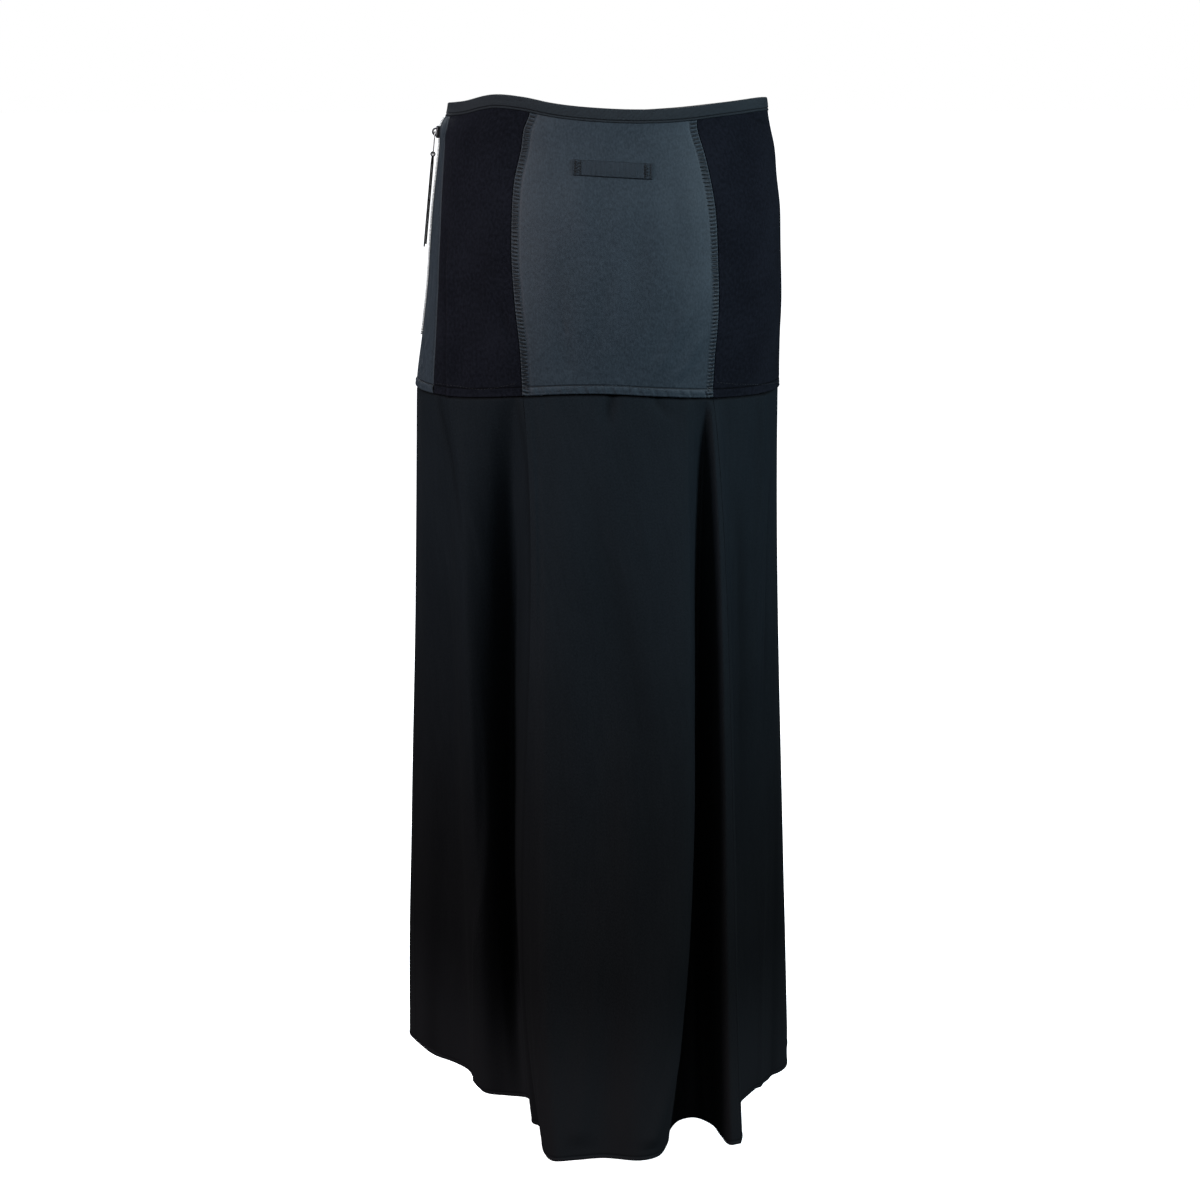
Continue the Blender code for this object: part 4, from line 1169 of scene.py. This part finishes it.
def pebble(half, rings=5, sides=8, squareness=0.35):
    """A small block with soft corners: a squared ball, cos and sin raised to a low power, on a few rings."""
    pole = 0.25
    lift = np.linspace(-pi / 2 + pole, pi / 2 - pole, rings)[:, None]
    turn = np.linspace(0.0, 2 * pi, sides, endpoint=False)[None, :] + pi / sides
    level = power(np.cos(lift), squareness)
    grid = np.stack((level * power(np.cos(turn), squareness), level * power(np.sin(turn), squareness),
                     power(np.sin(lift), squareness) + 0 * turn), axis=-1) * np.asarray(half)
    faces = grid_faces(rings, sides, closed_columns=True)[:, ::-1]
    last = (rings - 1) * sides
    cap = np.array(((0, 1, 2, 3), (0, 3, 4, 7), (4, 5, 6, 7)))
    return grid.reshape(-1, 3), np.concatenate((faces, cap[:, ::-1], cap + last))


def scattered(points, faces, centres, axes):
    """Copies of a small block at many centres, each turned to its own three axes."""
    many = centres[:, None] + np.einsum("pk,nkd->npd", points, axes)
    number = (np.arange(len(centres)) * len(points))[:, None, None]
    return many.reshape(-1, 3), (faces[None] + number).reshape(-1, 4)


def build_zip():
    """The two tapes and the closed chain: teeth that mesh below the slider and part above it, and a stop."""
    zip_end = ZIP_TOP + ZIP_LENGTH
    for name, node, sign in (("tape_back", "zip_tape_back", 1), ("tape_front", "zip_tape_front", -1)):
        sideways = LAY_GAP / 2 + (TAPE_WIDTH - LAY_GAP / 2) * shares(TAPE_WIDTH, 0.8 * MM)
        sideways = np.sort(sign * sideways)[None, :]
        drops = np.linspace(ZIP_TOP, zip_end + TAPE_TAIL, 140)[:, None]
        angle = gap_angle(-drops, sideways)
        grid = body_point(angle, -drops + 0 * sideways)
        normal = level_rims(outward(grid))
        p = Panel(grid - TAPE_DEPTH * normal, normal)
        inner = p.from_left if sign > 0 else p.from_right
        p.lip(inner, middle=0.9 * MM, reach=0.7 * MM, height=0.5 * MM)
        p.roll(inner, radius=0.3 * MM)
        cloth(name, p, TAPE_WALL, TAPE_CLOTH, node)

    slider_foot = SLIDER_DROP + SLIDER_SIZE.z / 2
    slider_head = SLIDER_DROP - SLIDER_SIZE.z / 2
    closed = np.arange(slider_foot + 0.8 * MM, zip_end - 2 * STOP_HEIGHT, TOOTH_PITCH)
    side = np.where(np.arange(len(closed)) % 2 == 0, 1.0, -1.0)
    opening = np.arange(slider_head - 0.6 * MM, ZIP_TOP + 1.2 * MM, -2 * TOOTH_PITCH)
    spread = 0.9 * MM + 0.32 * (opening[0] - opening)
    drops = np.concatenate((closed, opening, opening - TOOTH_PITCH, (zip_end - STOP_HEIGHT,)))
    offset = np.concatenate((TOOTH_STAGGER * side, TOOTH_PARTED + spread, -TOOTH_PARTED - spread, (0.0,)))
    half_across = np.concatenate((np.full(len(drops) - 1, TOOTH_WIDTH), (STOP_WIDTH,)))
    half_up = np.concatenate((np.full(len(drops) - 1, TOOTH_HEIGHT), (STOP_HEIGHT,)))
    here, out, up = zip_places(drops)
    across = np.broadcast_to(ACROSS_ZIP, out.shape)
    points, faces = pebble((TOOTH_DEPTH, 1.0, 1.0))
    axes = np.stack((out, across * half_across[:, None], up * half_up[:, None]), axis=1)
    centres = here + across * offset[:, None] + out * (CHAIN_PROUD - TOOTH_DEPTH)
    points, faces = scattered(points, faces, centres, axes)
    piece("zip_teeth", mesh_of("zip_teeth", points, faces), METAL, stands_for=("zip_chain",))


def closed_tube(path, across, radius, sides):
    """Round bar along a closed path, square to a cross direction: a circle of points round each place."""
    along = unit(np.roll(path, -1, axis=0) - np.roll(path, 1, axis=0))
    side = unit(np.cross(across, along))
    across = np.cross(along, side)
    turn = np.linspace(0.0, 2 * pi, sides, endpoint=False)[None, :, None]
    return path[:, None] + radius * (side[:, None] * np.cos(turn) + across[:, None] * np.sin(turn))


def wire_loop():
    """Points and faces of the wire: a rectangle with round corners that hangs from the hinge at 0, 0."""
    sides = 14
    edge = PULL_LOOP.x / 2 - PULL_CORNER
    low = PULL_CORNER - PULL_LOOP.y
    arcs = []
    for middle_y, middle_z, start in (
            (edge, -PULL_CORNER, 90), (edge, low, 0), (-edge, low, -90), (-edge, -PULL_CORNER, -180)):
        at = np.radians(start - np.linspace(0.0, 90.0, 12))
        y, z = middle_y + PULL_CORNER * np.cos(at), middle_z + PULL_CORNER * np.sin(at)
        arcs.append(np.stack((0 * at, y, z), axis=-1))
    path = np.concatenate(arcs)
    grid = closed_tube(path, np.array((1.0, 0.0, 0.0)), PULL_WIRE, sides)
    return grid.reshape(-1, 3), grid_faces(len(path), sides, closed_rows=True, closed_columns=True)[:, ::-1]


def folded_strip():
    """Points and faces of the strip: down one leg, round the eye at the wire's foot, down the other leg.

    Its section is a squared oval: cos to the power 0.25 over its width and sin to the power 0.45 over its
    wall. The two legs stand a thin slit apart.
    """
    sides = 20
    slit = 0.02 * MM
    wall = STRIP_WALL / 2
    radius = STRIP_EYE + wall / 2
    neck = atan2(wall / 2 + slit, radius * 1.6)
    at = np.linspace(neck, 2 * pi - neck, 40)
    eye = np.stack((radius * np.sin(at), -radius * np.cos(at)), axis=-1)
    run = np.linspace(1.0, 0.0, 34)[:, None]
    legs = []
    for foot_x, foot_z, top in (
            (wall / 2 + slit, -STRIP_LENGTH, eye[0]),
            (-wall / 2 - slit, STRIP_SLANT - STRIP_LENGTH, eye[-1])):
        foot = np.array((foot_x, foot_z))
        leg = top + (foot - top) * run
        leg[:, 0] = foot_x + (top[0] - foot_x) * np.clip(1 - run[:, 0] * 12, 0.0, 1.0)
        legs.append(leg)
    line = np.concatenate((legs[0], eye[1:-1], legs[1][::-1]))
    path = np.stack((line[:, 0], 0 * line[:, 0], line[:, 1] - PULL_LOOP.y), axis=-1)
    face = np.cross(unit(np.gradient(path, axis=0)), ACROSS_ZIP)
    corner = np.linspace(0.0, 2 * pi, sides, endpoint=False)
    thick = power(np.sin(corner), 0.45) * (wall / 2 - slit)
    grid = path[:, None] + face[:, None] * thick[None, :, None]
    grid[..., 1] += power(np.cos(corner), 0.25) * STRIP_WIDTH / 2
    faces = grid_faces(len(path), sides, closed_columns=True)
    half = sides // 2
    top, foot = np.arange(half), np.arange(sides - 1, half - 1, -1)
    cap = np.stack((top[:-1], top[1:], foot[1:], foot[:-1]), axis=-1)
    last = (len(path) - 1) * sides
    return grid.reshape(-1, 3), np.concatenate((faces, cap, cap[:, ::-1] + last))


def build_pull():
    """Wire loop in the slider's bridge and a strip folded round it, on the hinge's place and lean."""
    clear = (BRIDGE_RADIUS - BRIDGE_WIRE) / 2
    hinge = zip_frame(SLIDER_DROP) @ Vector((SLIDER_PROUD + clear, 0, 0))
    lean = Matrix.Translation(hinge) @ Matrix.Rotation(-PULL_LEAN, 4, "Y")
    turn = np.array(lean.to_3x3())
    for name, (points, faces), material, slot in (
            ("pull_wire", wire_loop(), METAL, "metal"), ("pull_strip", folded_strip(), LEATHER, "strip")):
        mesh = mesh_of(name, points @ turn.T + np.array(hinge), faces)
        piece(name, mesh, material, "zip_pull", ("zip_" + name,))


# The creases, on each panel's flat in millimetres

BACK_SATIN_CREASES = table(CREASE_COLUMNS, (
    (21, 60, 20, 126, 16, 200, -1.1, 13, 12, 0.4, 0.4),
    (-5, 110, -14, 160, -26, 215, -0.6, 9, 9, 0.4, 0.4),
    (-51, 171, -49, 178, -47, 188, -0.5, 1.3, 1.3, 0.3, 0.3),
    (67, 150, 46, 192, 29, 226, 0.9, 7, 6, 0.4, 0.3),
    (78, 180, 63, 207, 47, 228, 0.8, 5, 5, 0.3, 0.3),
    (-50, 110, -50, 180, -44, 232, -0.7, 10, 9, 0.4, 0.2),
    (-22, 30, -26, 80, -24, 130, 0.5, 14, 12, 0.4, 0.4),
    (50, 20, 52, 80, 58, 140, -0.5, 12, 10, 0.4, 0.4),
), MM)
SIDE_SATIN_CREASES = table(CREASE_COLUMNS, (
    (-8, 196, -3, 214, 2, 234, -0.9, 3, 4, 0.3, 0.2),
    (10, 192, 4, 212, -6, 234, 1.0, 4, 3, 0.3, 0.2),
    (3, 20, 5, 90, 6, 170, -0.35, 4, 5, 0.3, 0.3),
    (-2, 60, 0, 110, -2, 190, 0.4, 3, 4, 0.3, 0.3),
), MM)
LEFT_JERSEY_CREASES = table(CREASE_COLUMNS, (
    (-26, 95, -27, 172, -27, 262, 3.0, 1.8, 8, 0.35, 0.01),
    (-30, 90, -31.5, 172, -31.5, 262, -1.6, 4, 2.4, 0.35, 0.01),
    (34, 166, 37, 188, 42, 208, -1.0, 2.6, 4, 0.4, 0.4),
    (10, 60, 12, 130, 8, 225, -0.5, 12, 12, 0.4, 0.4),
), MM)
RIGHT_JERSEY_CREASES = table(CREASE_COLUMNS, (
    (6, -3, 25, 10, 52, 20, -0.9, 3, 3.5, 0.2, 0.4),
    (-21, 140, -20, 200, -17, 262, 0.8, 7, 8, 0.4, 0.01),
    (30, 150, 28, 195, 30, 262, -0.8, 6, 6, 0.4, 0.01),
), MM)
FRONT_JERSEY_CREASES = table(CREASE_COLUMNS, (
    (-120, 60, -110, 140, -112, 262, 0.9, 8, 12, 0.4, 0.01),
    (90, 80, 84, 150, 86, 262, -0.9, 10, 14, 0.4, 0.01),
    (0, 120, 6, 180, 2, 240, -0.6, 16, 14, 0.4, 0.4),
    (-60, 0, -72, 14, -92, 30, -0.8, 3, 4, 0.2, 0.5),
    (150, 150, 156, 200, 160, 262, 1.1, 4, 8, 0.4, 0.01),
), MM)
LEFT_CREPE_CREASES = table(CREASE_COLUMNS, (
    (-15, -2, -6, 72, 4, 160, -2.0, 5, 6, 0.01, 0.6),
    (1, -2, 9, 62, 24, 200, 1.6, 3.5, 12, 0.01, 0.6),
    (-45, 60, -38, 156, -40, 300, 1.2, 4, 8, 0.4, 0.5),
    (6, 230, 9, 390, -5, 645, 3.2, 5, 22, 0.4, 0.01),
    (-70, 300, -90, 450, -100, 645, -2.0, 16, 14, 0.5, 0.01),
), MM)
CENTRE_CREPE_CREASES = table(CREASE_COLUMNS, (
    (-56, 30, -45, 220, -44, 540, -1.4, 16, 11, 0.3, 0.4),
    (-6, 15, -11, 109, -18, 230, 0.8, 3, 7, 0.3, 0.5),
    (-7, -2, -13, 14, -20, 34, -3.4, 3.2, 4.5, 0.01, 0.7),
    (31, -2, 36, 10, 44, 24, -2.4, 3, 4, 0.01, 0.7),
    (52, -2, 48, 18, 46, 40, -0.9, 4, 5, 0.01, 0.7),
    (-1, 8, 2, 60, 4, 140, 1.0, 8, 9, 0.3, 0.6),
    (100, 500, 106, 580, 112, 648, 1.6, 4, 4, 0.4, 0.01),
    (4, 540, -3, 600, -14, 652, 2.6, 9, 6, 0.5, 0.01),
    (40, 120, 46, 300, 40, 560, -0.7, 18, 16, 0.4, 0.4),
    (-80, 330, -84, 480, -82, 652, 1.6, 10, 16, 0.4, 0.01),
), MM)
RIGHT_CREPE_CREASES = table(CREASE_COLUMNS, (
    (-6, -2, -3, 134, -9, 380, 3.0, 8, 7, 0.01, 0.4),
    (23, 380, 22, 520, 24, 648, 2.2, 3, 7, 0.35, 0.01),
    (-40, 60, -24, 215, -16, 420, -2.4, 7, 8, 0.3, 0.4),
    (13, 40, 14, 160, 16, 330, -1.6, 3, 3.5, 0.3, 0.4),
    (22, 30, 23, 150, 27, 360, 1.2, 3, 3, 0.3, 0.4),
    (45, 300, 50, 460, 56, 648, -2.0, 8, 8, 0.4, 0.01),
), MM)
FRONT_CREPE_CREASES = table(CREASE_COLUMNS, (
    (-150, -2, -158, 120, -170, 400, 2.6, 7, 14, 0.01, 0.5),
    (-96, 10, -102, 200, -120, 648, -2.6, 12, 18, 0.3, 0.01),
    (-40, -2, -38, 40, -44, 120, -1.6, 5, 6, 0.01, 0.6),
    (20, -2, 26, 180, 44, 520, 2.2, 14, 10, 0.01, 0.4),
    (88, -2, 96, 60, 104, 180, -2.2, 6, 7, 0.01, 0.6),
    (130, 60, 150, 300, 176, 648, 2.8, 8, 16, 0.3, 0.01),
    (170, -2, 176, 26, 186, 70, -1.6, 4, 5, 0.01, 0.7),
), MM)


# Studio

def sky_light():
    """The world: white to the camera, and for the cloth a soft light from above, cooler toward -X."""
    w = Recipe("studio", "worlds", "World Output")
    toward = w.node("ShaderNodeTexCoord", {}, {}, "Generated")
    height = w.node("ShaderNodeSeparateXYZ", {}, {0: toward}, "Z")
    side = w.node("ShaderNodeSeparateXYZ", {}, {0: toward}, "X")
    strength = w.node("ShaderNodeMapRange", {"interpolation_type": "SMOOTHSTEP"}, {
        "Value": height, "From Min": -0.05, "From Max": 0.45, "To Min": 0.01, "To Max": 0.35})
    share = w.node("ShaderNodeMapRange", {}, {"Value": side, "From Min": -0.7, "From Max": 0.7})
    tint = w.mix(share, (0.76, 0.97, 1.12), (1.02, 0.94, 0.98))
    around = w.node("ShaderNodeBackground", {}, {"Color": tint, "Strength": strength})
    backdrop = w.node("ShaderNodeBackground", {}, {"Color": (1.0, 1.0, 1.0, 1.0)})
    seen = w.node("ShaderNodeLightPath", {}, {}, "Is Camera Ray")
    return w.finish({"Surface": w.node("ShaderNodeMixShader", {}, {0: seen, 1: around, 2: backdrop})})


def build_studio():
    """Floor, soft lights and the camera, which looks at the skirt's back from a little above."""
    around = ((-1, -1), (1, -1), (1, 1), (-1, 1))
    corners = [(x * FLOOR_EDGE, y * FLOOR_EDGE, FLOOR_HEIGHT) for x, y in around]
    mesh = bpy.data.meshes.new("studio_floor")
    mesh.from_pydata(corners, [], [(0, 1, 2, 3)])
    mesh.materials.append(floor_paint())
    floor = bpy.data.objects.new("studio_floor", mesh)
    floor.visible_diffuse = False
    floor.visible_glossy = False
    bpy.context.scene.collection.objects.link(floor)

    bpy.context.scene.world = sky_light()
    bpy.context.scene.view_settings.view_transform = "Standard"

    for name, place, target, width, watts, colour in (
            ("key", (0.0, 1.0, 0.50), (0.0, 0.1, -0.25), 2.6, 7.0, (0.88, 0.97, 1.0)),
            ("left", (1.7, 0.9, 0.45), (0.1, 0.1, -0.35), 0.9, 41.0, (1.0, 0.94, 0.99)),
            ("right", (-1.7, 0.9, 0.45), (-0.1, 0.1, -0.35), 0.9, 47.0, (0.74, 0.95, 1.08)),
            ("front", (0.4, -2.2, 1.4), (0.0, 0.0, 0.2), 1.4, 50.0, (0.93, 0.98, 1.0))):
        light = bpy.data.lights.new(name, "AREA")
        light.shape = "RECTANGLE"
        light.size = width
        light.size_y = 0.7
        light.energy = watts
        light.color = colour
        lamp = bpy.data.objects.new(name, light)
        lamp.location = place
        lamp.rotation_euler = (Vector(place) - Vector(target)).to_track_quat("Z", "Y").to_euler()
        bpy.context.scene.collection.objects.link(lamp)

    photo = bpy.data.cameras.new("photo")
    photo.sensor_width = SENSOR
    photo.lens = LENS
    camera = bpy.data.objects.new("photo", photo)
    away = Vector((sin(VIEW_TURN), cos(VIEW_TURN), 0.0))
    sideways = Vector((cos(VIEW_TURN), -sin(VIEW_TURN), 0.0))
    camera.location = sideways * VIEW_SHIFT + away * VIEW_DISTANCE + Vector((0.0, 0.0, VIEW_HEIGHT))
    looks = Vector((0.0, 0.0, -sin(VIEW_TILT))) - away * cos(VIEW_TILT)
    camera.rotation_euler = looks.to_track_quat("-Z", "Y").to_euler()
    bpy.context.scene.collection.objects.link(camera)
    bpy.context.scene.camera = camera


build_waistband()
build_yoke()
build_tab()
build_skirt()
build_zip()
build_pull()
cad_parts["zip_slider"].material_slots[0].material = SLIDER_METAL
build_studio()
